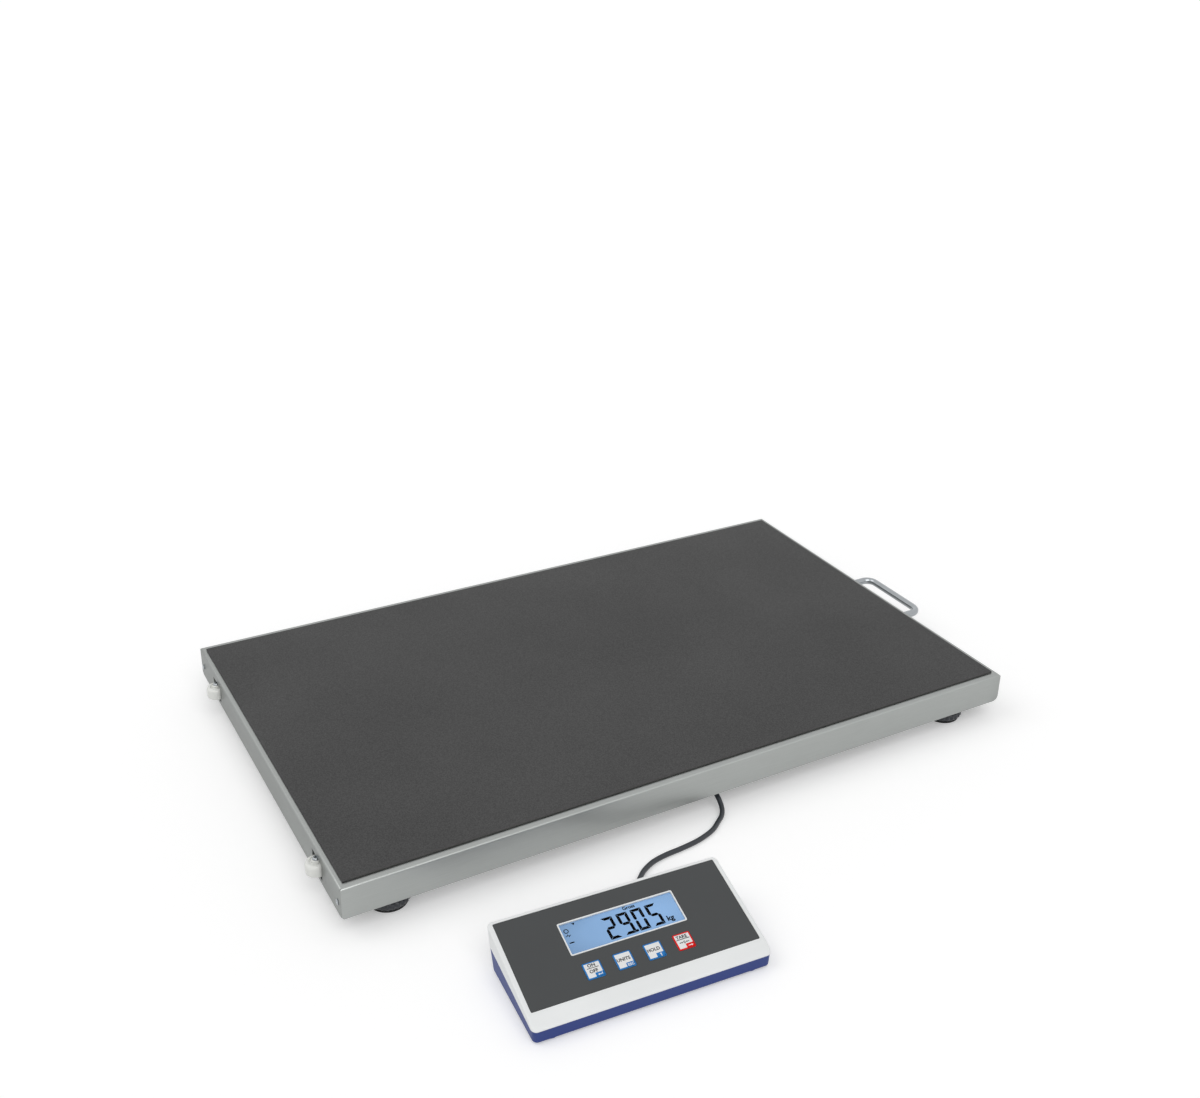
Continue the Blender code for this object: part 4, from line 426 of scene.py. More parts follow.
def carved(made, operation, shape):
    """Join a shape to an object, or cut it out, and give the helper that holds the shape."""
    helper = mesh_object("helper", [shape])
    boolean = made.modifiers.new("boolean", "BOOLEAN")
    boolean.operation, boolean.object = operation, helper
    return helper


def less(surface, cutter):
    """The surface without the cutter's volume."""
    made = mesh_object("helper", [surface])
    helper = carved(made, "DIFFERENCE", cutter)
    rest = surface_of(evaluated_mesh(made))
    for old in (made, helper):
        bpy.data.objects.remove(old)
    return rest


def add_piece(name, surfaces, look, body="platform", slot=None, nodes=(), wall=0.0, bevel=0.0,
              joined=(), cut=()):
    """A finished piece: its surfaces, a wall's thickness, shapes joined or cut, rounded edges.
    The slot argument is not used."""
    made = mesh_object(name, surfaces)
    if wall:
        sheet = made.modifiers.new("wall", "SOLIDIFY")
        sheet.thickness, sheet.offset, sheet.use_even_offset = wall, -1, True
    helpers = [carved(made, "UNION", shape) for shape in joined]
    helpers += [carved(made, "DIFFERENCE", shape) for shape in cut]
    if bevel:
        rounding = made.modifiers.new("edges", "BEVEL")
        rounding.width, rounding.segments, rounding.angle_limit = bevel, 2, math.radians(40)
    mesh = evaluated_mesh(made)
    for old in [made, *helpers]:
        bpy.data.objects.remove(old)
    mesh.name = name
    mesh.shade_smooth()
    mesh.set_sharp_from_angle(angle=math.radians(35))
    mesh.materials.clear()
    mesh.materials.append(FINISHES[look])
    piece = bpy.data.objects.new(name, mesh)
    bpy.context.scene.collection.objects.link(piece)
    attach(piece, body)
    slot = look if slot is None else slot
    if nodes:
        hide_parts(*nodes)
    return piece


def letters(text, height, x, y, low, thickness):
    """Surface of a line of text, centred at x, y, with letters of the given height."""
    curve = bpy.data.curves.new(text, "FONT")
    curve.body, curve.align_x, curve.align_y = text, "CENTER", "CENTER"
    curve.size, curve.extrude, curve.resolution_u = 1, thickness / height / 2, 3
    curve.offset = 0.03
    line = bpy.data.objects.new(text, curve)
    bpy.context.scene.collection.objects.link(line)
    points, faces = surface_of(evaluated_mesh(line))
    bpy.data.objects.remove(line)
    return points * height + (x, y, low + thickness / 2), faces


# Finishes

def per_metre(millimetres):
    """Scale of a noise whose features are this wide, on coordinates in metres."""
    return 1000 / millimetres


def shade(rgb, factor):
    return (*[min(1, channel * factor) for channel in rgb], 1)


def add(tree, kind, sockets=None, **settings):
    """Add a shader node with its settings, and its sockets' values or links."""
    made = tree.nodes.new("ShaderNode" + kind)
    for name, value in settings.items():
        setattr(made, name, value)
    for name, value in (sockets or {}).items():
        if isinstance(value, bpy.types.NodeSocket):
            tree.links.new(value, made.inputs[name])
        else:
            made.inputs[name].default_value = value
    return made


def blank(name, rgb, roughness, **sockets):
    """A Principled material with plain numbers set straight on its shader."""
    made = bpy.data.materials.new(name)
    made.use_nodes = True
    shader = made.node_tree.nodes["Principled BSDF"]
    shader.inputs["Base Color"].default_value = (*rgb, 1)
    shader.inputs["Roughness"].default_value = roughness
    for socket, value in sockets.items():
        shader.inputs[socket.replace("_", " ")].default_value = value
    return made, made.node_tree, shader


def own_place(tree):
    return add(tree, "TexCoord").outputs["Object"]


def noise(tree, place, scale, detail=2.0):
    return add(tree, "TexNoise", {"Vector": place, "Scale": scale, "Detail": detail}).outputs[0]


def mixed(tree, share, low, high, **settings):
    """Colour from low to high by a share."""
    return add(tree, "Mix", {0: share, 6: low, 7: high}, data_type="RGBA", **settings).outputs[2]


def ranged(tree, value, low, high, start=0.0, end=1.0):
    """Values from start to end spread over low to high."""
    sockets = {"Value": value, "From Min": start, "From Max": end, "To Min": low, "To Max": high}
    return add(tree, "MapRange", sockets).outputs[0]


def relief(tree, height, strength, distance):
    return add(tree, "Bump", {"Height": height, "Strength": strength, "Distance": distance}).outputs[0]


def wired(finish, **sources):
    """The material, with these node outputs linked to its shader's sockets."""
    made, tree, shader = finish
    for socket, source in sources.items():
        tree.links.new(source, shader.inputs[socket.replace("_", " ")])
    return made


def brushed_sheet(name, rgb, streaks):
    """Stainless sheet with a brushed finish: fine streaks along the rolling direction, seen as
    a slight change of tone, and reflections that blur across them. Its grit lines shade one
    another at a grazing view, so its edges don't flare to white."""
    finish = blank(name, rgb, 0.34, Metallic=1.0, Specular_Tint=(0.6, 0.6, 0.6, 1))
    tree, place = finish[1], own_place(finish[1])
    long = add(tree, "Mapping", {"Vector": place, "Scale": streaks}).outputs[0]
    # Real grit lines are 0.05 mm wide. They are drawn 0.7 mm wide so that they show
    lines = noise(tree, long, per_metre(0.7), 5.0)
    tone = mixed(tree, lines, shade(rgb, 0.86), shade(rgb, 1.08))
    soft = mixed(tree, noise(tree, place, per_metre(60)), shade((1, 1, 1), 0.93), (1, 1, 1, 1))
    return wired(finish, Base_Color=mixed(tree, 1.0, tone, soft, blend_type="MULTIPLY"),
                 Roughness=ranged(tree, lines, 0.27, 0.43), Normal=relief(tree, lines, 0.25, 2e-5))


def bright_metal(name, rgb, roughness, blotch):
    """Drawn rod, zinc plating or anodised bar: smooth metal with faint cloudy differences."""
    finish = blank(name, rgb, roughness, Metallic=1.0)
    tree = finish[1]
    cloud = noise(tree, own_place(tree), per_metre(blotch), 4.0)
    return wired(finish, Base_Color=mixed(tree, cloud, shade(rgb, 0.9), shade(rgb, 1.06)),
                 Roughness=ranged(tree, cloud, roughness * 0.8, roughness * 1.25))


def grained_rubber(name, rgb, grain, depth):
    """Calendered rubber: a dull surface pressed with a close pebble grain, and faint wear."""
    finish = blank(name, rgb, 0.8, IOR=1.52)
    tree, place = finish[1], own_place(finish[1])
    pebble = add(tree, "TexVoronoi", {"Vector": place, "Scale": 1 / grain}, feature="SMOOTH_F1")
    speck = ranged(tree, noise(tree, place, 0.8 / grain, 3.0), 0.0, 1.0, 0.36, 0.64)
    wear = noise(tree, place, per_metre(180), 3.0)
    return wired(finish, Base_Color=mixed(tree, speck, shade(rgb, 0.68), shade(rgb, 1.32)),
                 Roughness=ranged(tree, wear, 0.74, 0.86, 0.3, 0.7),
                 Normal=relief(tree, pebble.outputs[0], 0.5, depth))


def moulded_plastic(name, rgb, roughness, grain, depth, ior=1.53, **sockets):
    """Injection-moulded plastic: the fine eroded grain of its mould, pigment almost even."""
    finish = blank(name, rgb, roughness, IOR=ior, **sockets)
    tree, place = finish[1], own_place(finish[1])
    eroded = noise(tree, place, per_metre(grain))
    cloud = noise(tree, place, per_metre(45))
    return wired(finish, Base_Color=mixed(tree, cloud, shade(rgb, 0.95), shade(rgb, 1.04)),
                 Roughness=ranged(tree, eroded, roughness - 0.06, roughness + 0.06),
                 Normal=relief(tree, eroded, 0.4, depth))


def clear_acrylic(name):
    """Cast acrylic pane: clear, so the glass under it shows, with a soft gloss and no colour of
    its own, which is black for a surface that is nearly all see-through."""
    finish = blank(name, (0, 0, 0), 0.08, IOR=1.49, Alpha=0.1)
    haze = noise(finish[1], own_place(finish[1]), per_metre(20))
    return wired(finish, Roughness=ranged(finish[1], haze, 0.05, 0.12))


def lcd_glass_with_painted_rim_shade(name, rgb):
    """Liquid crystal glass with its backlight's glow: brighter towards its middle right, and darker at its
    rim, where the shade of the window's edge is painted in.
    """
    finish = blank(name, rgb, 0.25, IOR=1.5, Emission_Strength=0.3)
    tree = finish[1]
    window = add(tree, "Mapping", {
        "Vector": own_place(tree),
        "Location": PANEL @ Vector((0, (WINDOW_FRONT + WINDOW_BACK) / 2, LCD_TOP)),
        "Rotation": (PANEL_TILT, 0, DISPLAY_YAW),
        "Scale": (1.35 * WINDOW_HALF_WIDTH, 0.85 * (WINDOW_BACK - WINDOW_FRONT), 1)},
        vector_type="TEXTURE").outputs[0]
    glow = add(tree, "TexGradient", {"Vector": window}, gradient_type="SPHERICAL")
    lean = add(tree, "Mapping", {"Vector": window, "Location": (0.5, 0, 0), "Scale": (0.5, 1, 1)})
    across = add(tree, "TexGradient", {"Vector": lean.outputs[0]}, gradient_type="LINEAR")
    tone = mixed(tree, across.outputs[0], shade(rgb, 0.84), shade(rgb, 1.16))
    # Painted shade: the glass and its glow darken towards the rim, where the window's edge shades it
    rim = ranged(tree, glow.outputs[0], 0.8, 1.0, 0.0, 0.5)
    both = mixed(tree, 1.0, tone, rim, blend_type="MULTIPLY")
    return wired(finish, Base_Color=both, Emission_Color=both)


def printed_ink(name, rgb, roughness=0.5, **sockets):
    """Screen-printed ink: even colour, with the faint mesh of its screen."""
    finish = blank(name, rgb, roughness, IOR=1.5, **sockets)
    tree = finish[1]
    mesh = noise(tree, own_place(tree), per_metre(0.4))
    return wired(finish, Base_Color=mixed(tree, mesh, shade(rgb, 0.94), shade(rgb, 1.05)))


FINISHES = {}


def make_finishes(chosen):
    """All finishes, named for what they are made of."""
    steel, rubber, foot = chosen.steel, chosen.rubber, chosen.foot
    cable, display = chosen.cable, chosen.display
    FINISHES.update({
        # Streaks run along X on the tray and the rails, and along Y on the crossbars
        "stainless": brushed_sheet("brushed_stainless_sheet", steel.sheet_colour, (0.02, 1, 1)),
        "crossbar": brushed_sheet("brushed_stainless_across", steel.sheet_colour, (1, 0.02, 1)),
        "polished_steel": bright_metal("drawn_stainless_rod", steel.rod_colour, 0.16, 14),
        "zinc_steel": bright_metal("zinc_plated_steel", steel.zinc_colour, 0.38, 3),
        "aluminium": bright_metal("anodised_aluminium", steel.cell_colour, 0.42, 8),
        "mat_rubber": grained_rubber("calendered_rubber", rubber.mat_colour, rubber.grain, 1.2e-4),
        "sole_rubber": grained_rubber("moulded_rubber", rubber.sole_colour, 0.0016, 5e-5),
        "foot_nylon": moulded_plastic("glass_filled_nylon", foot.wheel_colour, 0.36, 0.8, 2e-5),
        "roller_nylon": moulded_plastic("natural_nylon", foot.roller_colour, 0.4, 1.0, 2e-5,
                                        Subsurface_Weight=0.35, Subsurface_Scale=0.003,
                                        Subsurface_Radius=(1, 1, 1)),
        "cable_jacket": moulded_plastic("extruded_pvc", cable.jacket_colour, 0.3, 1.5, 2e-5),
        "black_plastic": moulded_plastic("black_acetal", cable.black_colour, 0.45, 0.8, 3e-5),
        "box_plastic": moulded_plastic("grey_abs", display.box_colour, 0.5, 0.9, 4e-5),
        "white_plastic": moulded_plastic("white_abs", display.cover_colour, 0.42, 0.8, 3e-5),
        "blue_plastic": moulded_plastic("blue_abs", display.base_colour, 0.5, 0.8, 3e-5),
        "panel_foil": moulded_plastic("printed_polyester_film", display.foil_colour, 0.5, 0.6, 2e-5,
                                      Specular_IOR_Level=0.3),
        "key_white": moulded_plastic("keycap_abs", display.key_colour, 0.4, 0.7, 1e-5),
        "window_clear": clear_acrylic("clear_acrylic"),
        "lcd_blue": lcd_glass_with_painted_rim_shade("backlit_lcd_glass_painted_rim_shade", display.glass_colour),
        "lcd_frame": moulded_plastic("lcd_frame_plastic", linear("#2b2c2e"), 0.5, 0.8, 2e-5),
        # The dark segments lie inside the glass, so they have no gloss of their own
        "digit_ink": printed_ink("lcd_segments", display.digit_colour, Specular_IOR_Level=0.0),
        "blue_ink": printed_ink("blue_key_print", display.blue_ink, Specular_IOR_Level=0.3),
        "red_ink": printed_ink("red_key_print", display.red_ink, Specular_IOR_Level=0.3),
        "text_ink": printed_ink("grey_key_print", display.text_ink),
        "white_ink": printed_ink("white_key_print", display.key_colour),
        "board_green": moulded_plastic("solder_mask_board", linear("#1f5a33"), 0.35, 2.0, 3e-5),
        "battery_sleeve": moulded_plastic("shrink_film", linear("#3a3a3d"), 0.25, 6.0, 3e-5),
    })
    # The last key's cap is white too. Only its print is red
    FINISHES["key_red"] = FINISHES["key_white"]


def rows_finish(node):
    """Finish of a construction node that stays in view, from the record's slot of it."""
    if node.startswith("crossbar"):
        return FINISHES["crossbar"]
    if node == "lcd_module":
        return FINISHES["lcd_frame"]
    slots = {entry["node"]: entry["material_slot"] for entry in frame["record"]["subparts"]}
    return FINISHES[slots[node]]


# Platform

def folded_side(quarter_turns, half_length, half_width, stops, corners, mitre, heights, bend, slots=()):
    """Fold and apron of one side. Down the profile the skin runs out by r sin a and down by
    r (1 - cos a), then straight down. A row ends at the flat top's corner plus its own run
    out, up to the mitre, less what a rounded lower corner takes: R - sqrt(R^2 - d^2) at a
    depth d into it."""
    fold = np.linspace(0, math.pi / 2, 9)
    out = np.concatenate([bend * np.sin(fold), np.full(len(heights), bend)])
    z = np.concatenate([PLATE_HIGH.z - bend * (1 - np.cos(fold)), heights])
    ends = []
    for radius in corners:
        into = np.clip(radius - (z - PLATE_LOW.z), 0, radius)
        taken = radius - np.sqrt(radius**2 - into**2)
        ends.append(half_length - bend + np.minimum(out, mitre) - taken)
    x = np.tile(np.concatenate([[0], stops, [0]]), (len(z), 1))
    x[:, 0], x[:, -1] = -ends[0], ends[1]
    y = np.broadcast_to(-(half_width - bend + out)[:, None], x.shape)
    points = np.stack([x, y, np.broadcast_to(z[:, None], x.shape)], -1).reshape(-1, 3)
    faces = quads(*x.shape)
    centre = points[faces].mean(1)
    for low_x, high_x, low_z, high_z in slots:
        inside = (centre[:, 0] > low_x) & (centre[:, 0] < high_x)
        inside &= (centre[:, 2] > low_z) & (centre[:, 2] < high_z)
        faces, centre = faces[~inside], centre[~inside]
    turn = Matrix.Translation(MIDDLE) @ Matrix.Rotation(quarter_turns * math.pi / 2, 4, "Z")
    return placed((points, faces.tolist()), turn)


def roller_slots():
    """Slots in the left wall, as (from, to, bottom, top) along that side and up."""
    beside, under, over = 0.003, 0.0025, 0.0045 + ROLLER_TALLER / 2
    found = []
    for name in ("roller_front", "roller_back"):
        low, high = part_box(name)
        middle = MIDDLE.y - (low.y + high.y) / 2
        half = (high.x - low.x) / 2 + beside
        found.append((middle - half, middle + half, low.z - under, high.z + over))
    return found


def tray_surfaces(bend, corner_left, corner_right):
    """Flat top, four folds and four aprons, meeting point for point."""
    long_stops = np.linspace(-0.43, 0.43, 5)
    slots = roller_slots()
    edges = np.unique([x for slot in slots for x in slot[:2]])
    short_stops = np.concatenate([edges, -edges, [0]])
    short_stops = np.unique(np.round(short_stops, 6))
    curve = 1 - np.sin(np.linspace(0, math.pi / 2, 7))
    rows = np.concatenate([corner_left * curve, corner_right * curve])
    rows = PLATE_LOW.z + np.unique(np.round(rows, 6))[::-1]
    cuts = np.unique([z for slot in slots for z in slot[2:]])
    short_rows = np.unique(np.concatenate([rows, cuts]))[::-1]
    seam = bend - SHEET - FOLD_GAP
    x, y = PLATE_HALF.x, PLATE_HALF.y
    surfaces = [
        folded_side(0, x, y, long_stops, (corner_left, corner_right), bend, rows, bend),
        folded_side(2, x, y, long_stops, (corner_right, corner_left), bend, rows, bend),
        folded_side(1, y, x, short_stops, (corner_left, corner_left), seam, short_rows, bend),
        folded_side(3, y, x, short_stops, (corner_left, corner_left), seam, short_rows, bend, slots),
    ]
    across = np.concatenate([[-(x - bend)], long_stops, [x - bend]])
    deep = np.concatenate([[-(y - bend)], short_stops, [y - bend]])
    top = np.stack(np.meshgrid(across, deep), -1)
    top = np.concatenate([top, np.full((*top.shape[:2], 1), PLATE_HIGH.z)], -1)
    faces = quads(len(deep), len(across)).tolist()
    return [*surfaces, placed((top.reshape(-1, 3), faces), Matrix.Translation(MIDDLE))]


def corner_angle_surfaces():
    """Folded angles spot-welded inside the corners, as L-shaped prisms."""
    low, high = PLATE_LOW.z + CORNER_RAISE, PLATE_HIGH.z - CORNER_DROP
    x0, y0 = PLATE_HALF.x - SHEET, PLATE_HALF.y - SHEET
    x1, y1 = x0 - SHEET, y0 - SHEET
    x2, y2 = x1 - CORNER_LEG, y1 - CORNER_LEG
    outline = np.array([(x0, y0), (x2, y0), (x2, y1), (x1, y1), (x1, y2), (x0, y2)])
    move = Matrix.Translation(MIDDLE)
    return [placed(prism(outline * (a, b), low, high), move) for a in (-1, 1) for b in (-1, 1)]


def add_tray(steel):
    surfaces = tray_surfaces(steel.bend, steel.corner_left, steel.corner_right)
    add_piece("tray", surfaces, "stainless", nodes=["weighing_plate"], wall=SHEET, bevel=steel.edge)
    add_piece("corner_angles", corner_angle_surfaces(), "stainless", bevel=steel.edge)


def add_mat(rubber):
    """Slab whose upper edge is a quarter round of the mat's edge radius. It ends a little short
    of the construction's at the handle, where the photograph shows more of the sheet."""
    low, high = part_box("rubber_mat")
    edge, corner, chamfer = rubber.mat_edge, 0.0012, 0.0001
    levels = [(chamfer, low.z), (0, low.z + chamfer)]
    levels += [(edge - out, high.z - edge + up) for out, up in quarter(edge, 0)]
    sides = (low.x, high.x - MAT_SHORTER, low.y, high.y)
    add_piece("mat", [slab(sides, corner, levels, 4)], "mat_rubber", nodes=["rubber_mat"])


def upright(low, high):
    """Frame on the floor under the middle of a box."""
    return Matrix.Translation(((low.x + high.x) / 2, (low.y + high.y) / 2, 0))


def wheel_surface(radius, low, hub_top, flutes, flute_depth):
    """Fluted wheel with a coned hub. A flute takes depth * cos(n a / 2)^2 off the radius, and
    it fades out over the chamfers. Each profile row is (radius, height, share of the flute)."""
    rim, chamfer, hub, neck = 0.010, 0.0015, 0.0125, 0.009
    top = low + rim
    rows = [(0.006, low, 0), (radius - 3 * chamfer, low, 0), (radius - 2 * chamfer, low + 0.0004, 0.3),
            (radius - 0.0006, low + 2 * chamfer, 0.9), (radius, low + 2 * chamfer + 0.0008, 1),
            (radius, top - chamfer - 0.0008, 1), (radius - 0.0005, top - chamfer, 0.9),
            (radius - 1.7 * chamfer, top, 0.2), (hub + 0.004, top, 0), (hub + 0.003, top - 0.0006, 0),
            (hub + 0.001, top - 0.0006, 0), (hub, top, 0), (neck, hub_top, 0), (0.005, hub_top, 0)]
    base, height, share = np.array(rows).T[..., None]
    angle = full_turn(12 * flutes)
    reach = base - share * flute_depth * np.cos(flutes * angle / 2) ** 2
    return around(reach, height, angle)


def stud_surface(radius, low, high, pitch):
    """Threaded stud: radius less 0.3 pitch times a triangle wave of height / pitch - a / 2 pi,
    with the thread running out at both ends."""
    z = np.linspace(low, high, max(8, round((high - low) / pitch * 10)))[:, None]
    angle = full_turn(32)
    phase = (z / pitch - angle / (2 * math.pi)) % 1
    fade = np.clip(np.minimum(z - low, high - z) / pitch, 0, 1)
    reach = radius - 0.3 * pitch * (np.abs(2 * phase - 1) * fade + (1 - fade))
    return around(reach, z, angle)


def add_feet(foot):
    """Four levelling wheels on studs, and the ribbed soles under them."""
    for corner in CORNERS:
        low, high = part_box(f"foot_wheel_{corner}")
        middle = upright(low, high)
        radius = (high.x - low.x) / 2
        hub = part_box(f"load_cell_{corner}")[0].z - GAP
        wheel = wheel_surface(radius, low.z, hub, foot.flutes, foot.flute_depth)
        sunk = 0.001
        stud = stud_surface(STUD_RADIUS, hub - sunk, high.z, foot.thread_pitch)
        add_piece(f"levelling_wheel_{corner}", [placed(wheel, middle), placed(stud, middle)],
                  "foot_nylon", f"wheel_{corner}", nodes=[f"foot_wheel_{corner}"])
        low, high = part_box(f"foot_sole_{corner}")
        radius, top = (high.x - low.x) / 2, SOLE_HEIGHT
        profile = [(0.008, 0.0006), (0.0085, 0), (0.0115, 0), (0.012, 0.0006), (0.0145, 0.0006),
                   (0.015, 0), (radius - 0.0012, 0), (radius, 0.001), (radius, top - 0.0004),
                   (radius - 0.0004, top), (0.004, top), (0.004, high.z - 0.0005), (0.0035, high.z)]
        add_piece(f"rubber_sole_{corner}", [placed(turned(profile), middle)], "sole_rubber",
                  f"sole_{corner}", nodes=[f"foot_sole_{corner}"])


def screw_head(radius, low, height, socket):
    """Domed head with a hexagon socket. Rings blend from round to six-sided inside the rim:
    a six-sided ring has radius s cos(30) / cos(a mod 60 - 30)."""
    angle = full_turn(48)
    six = math.cos(math.pi / 6) / np.cos(angle % (math.pi / 3) - math.pi / 6)
    dome = quarter(1, 0, 5)
    rings = [(radius, low, 0), *[(radius * (0.72 + 0.28 * c), low + height * s, 0) for c, s in dome],
             (socket * 1.12, low + height, 0), (socket, low + height - 0.0002, 1),
             (socket, low + 0.35 * height, 1)]
    reach = np.array([r * (1 + flat * (six - 1)) for r, _, flat in rings])
    return around(reach, np.array([z for _, z, _ in rings])[:, None], angle)


def add_rollers():
    """Nylon rollers with a rounded tread, a dished face and a raised hub, and their screws.
    They stand taller in their slots than the construction's."""
    bore, screw_radius, screw_head_height = 0.0028, 0.0025, 0.0022
    for side in ("front", "back"):
        low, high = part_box(f"roller_{side}")
        high.z += ROLLER_TALLER
        middle = upright(low, high)
        radius, edge, dish, hub = (high.x - low.x) / 2, 0.002, 0.0015, 0.005
        top = high.z - 0.002
        soft = 2 * edge
        tread = [(radius - soft + a, top - soft + b) for a, b in quarter(soft, 0, 8)[::-1]]
        tread += [(radius - edge + a, low.z + edge + b) for a, b in quarter(edge, -90, 5)[::-1]]
        profile = [(bore, low.z), (bore, high.z), (hub - 0.0005, high.z), (hub, high.z - 0.0005),
                   (hub + 0.0002, top - dish + 0.0004), (hub + 0.0008, top - dish),
                   (0.0070, top - dish), (0.0077, top - dish + 0.0005), (0.0080, top - 0.0001), *tread]
        # The profile starts and ends at the bore, so the bore closes it into a ring
        profile.append((bore, low.z))
        points, faces = turned(profile, 64)
        add_piece(f"nylon_roller_{side}", [placed((points, faces[:-2]), middle)], "roller_nylon",
                  f"roller_{side}", nodes=[f"roller_{side}"])
        low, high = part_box(f"roller_screw_{side}")
        high.z += ROLLER_TALLER
        seat = high.z - screw_head_height
        pin = turned([(screw_radius, low.z), (screw_radius, seat + 0.0002)], 32)
        head = screw_head(0.004, seat, high.z - seat, 0.0017)
        add_piece(f"shoulder_screw_{side}", [placed(pin, middle), placed(head, middle)],
                  "polished_steel", nodes=[f"roller_screw_{side}"])


def add_rivets():
    """Blind rivets: a low dome with a sunk mandrel hole outside, a bulbed tail inside."""
    surfaces, rivets = [], [f"corner_rivet_{number}" for number in range(1, 5)]
    for rivet in rivets:
        low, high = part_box(rivet)
        side = 1 if high.x > MIDDLE.x else -1
        wall = MIDDLE.x + side * PLATE_HALF.x
        grip = 2 * SHEET + GAP
        profile = [(0, -grip - 0.0018), (0.002, -grip - 0.0018), (0.0028, -grip - 0.0012),
                   (0.0028, -grip - GAP), (0.002, -grip - GAP), (0.002, GAP), (0.0036, GAP),
                   (0.0036, GAP + 0.0004), (0.0031, GAP + 0.0009), (0.0021, GAP + 0.0013),
                   (0.0013, GAP + 0.0014), (0.0011, GAP + 0.0009), (0, GAP + 0.0009)]
        at = Matrix.Translation((wall, (low.y + high.y) / 2, (low.z + high.z) / 2))
        surfaces.append(placed(turned(profile, 32), at @ Matrix.Rotation(side * math.pi / 2, 4, "Y")))
    add_piece("blind_rivets", surfaces, "polished_steel", nodes=rivets)


def add_handle(steel):
    """Round rod swept along two straight legs, two bends and the grip."""
    low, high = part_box("handle")
    radius, bend = (high.z - low.z) / 2, steel.handle_bend
    reach, half = high.x - radius, (high.y - low.y) / 2 - radius
    arcs = quarter(bend, -90, 12)
    corner = np.array([reach - bend, -half + bend])
    front = np.vstack([[(low.x, -half), (low.x + 0.002, -half)], corner + arcs])
    path = np.vstack([front, (front * (1, -1))[::-1]])
    centre = ((low.y + high.y) / 2, (low.z + high.z) / 2)
    path = np.column_stack([path[:, 0], path[:, 1] + centre[0], np.full(len(path), centre[1])])
    add_piece("carrying_handle", [swept(circle(radius, 32), path)], "polished_steel", nodes=["handle"])


# Cable and rear fittings

def rear_fitting(x):
    """Frame on the slanting back wall of the base: +Z points out of the wall."""
    high_y = HOUSING_BACK - BASE_REVEAL - PARTING_BACK_INSET
    low_y = HOUSING_BACK - BASE_REVEAL - BASE_BACK_INSET
    low_z = BASE_BOTTOM + BASE_EDGE
    lean = (high_y - low_y) / (parting_z(high_y) - GAP - low_z)
    y = low_y + (REAR_FITTING_Z - low_z) * lean
    turn = Matrix.Rotation(-math.pi / 2 - math.atan(lean), 4, "X")
    return DISPLAY @ Matrix.Translation((x, y, REAR_FITTING_Z)) @ turn


def add_cable(cable):
    """Free cable from the clip under the platform, over the floor, into the display's boot."""
    exit_x, exit_z = MIDDLE.x + CABLE_X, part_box("rail_front")[0].z - CABLE_CLIP_BORE_DROP
    start = (exit_x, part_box("cable_clip")[0].y - GAP, exit_z)
    leaving = (exit_x, start[1] - CABLE_END_RUN, exit_z)
    over_floor = [(MIDDLE.x + x, PLATE_LOW.y + y, z) for x, y, z in CABLE_ROUTE]
    boot = rear_fitting(BOOT_X)
    ends = [boot @ Vector((0, 0, BOOT_LENGTH + beyond)) for beyond in (CABLE_END_RUN, GAP)]
    route = smooth_route([leaving, *over_floor, ends[0]], 0.003)
    path = np.vstack([[start], route, [ends[1]]])
    piece = add_piece("display_cable", [swept(circle(CABLE_RADIUS, 24), path)], "cable_jacket",
                      nodes=["signal_cable"])

    collar, root, tip, groove_depth = 0.003, 0.0058, 0.0042, 0.0005
    share = np.linspace(0, 1, 12 * cable.ribs + 1)
    run = collar + share * (BOOT_LENGTH - collar)
    # Ribs: the taper less a groove's depth in each groove, with steep sides
    groove = np.clip(1.6 * np.sin(2 * math.pi * cable.ribs * share), 0, 1)
    profile = [(0.0042, -0.0035), (0.0042, GAP), (root, GAP), (root, collar),
               *zip(root + (tip - root) * share - groove_depth * groove, run)]
    add_piece("cable_boot_ribbed", [placed(turned(profile), boot)], "black_plastic",
              nodes=["cable_boot"])


def add_socket():
    """Barrel socket: a flange with a rounded rim, a bore and the centre pin."""
    face = GAP + 0.0012
    profile = [(0.0058, -0.011), (0.0058, GAP), (0.0072, GAP), (0.0072, face - 0.0003),
               (0.0069, face), (0.0036, face), (0.0032, face - 0.0003), (0.0032, -0.0088),
               (0.001, -0.0088), (0.001, -0.0003), (0.0007, 0)]
    add_piece("barrel_socket", [placed(turned(profile), rear_fitting(SOCKET_X))], "black_plastic",
              nodes=["power_socket"])


# Display unit

def top_z(y):
    """Height of the cover's top: the sloping panel, then the steeper front band, with the
    crease between them rounded over 1.5 mm each way by (d + w)^2 / 4w."""
    width = 0.0015
    ahead = np.asarray(CREASE_Y - y, float)
    blend = np.where(ahead > width, ahead, np.clip(ahead + width, 0, None) ** 2 / (4 * width))
    return PANEL_CENTRE_Z + y * math.tan(PANEL_TILT) - blend * (FRONT_BAND_SLOPE - math.tan(PANEL_TILT))


def parting_z(y):
    return PARTING_CENTRE_Z + y * PARTING_SLOPE


def housing_rings(levels, stops):
    """Rounded plan outlines of the housing: each level is (inset, inset at the sides, inset at
    the back, height as a function of depth)."""
    rings = []
    for inset, side, back, height in levels:
        half = HOUSING_HALF - inset - side
        sides = (-half, half, HOUSING_FRONT + inset, HOUSING_BACK - inset - back)
        ring = rounded_rings(sides, HOUSING_CORNER - inset, [0], stops, 10)[0]
        rings.append(np.column_stack([ring, height(ring[:, 1])]))
    return np.stack(rings)


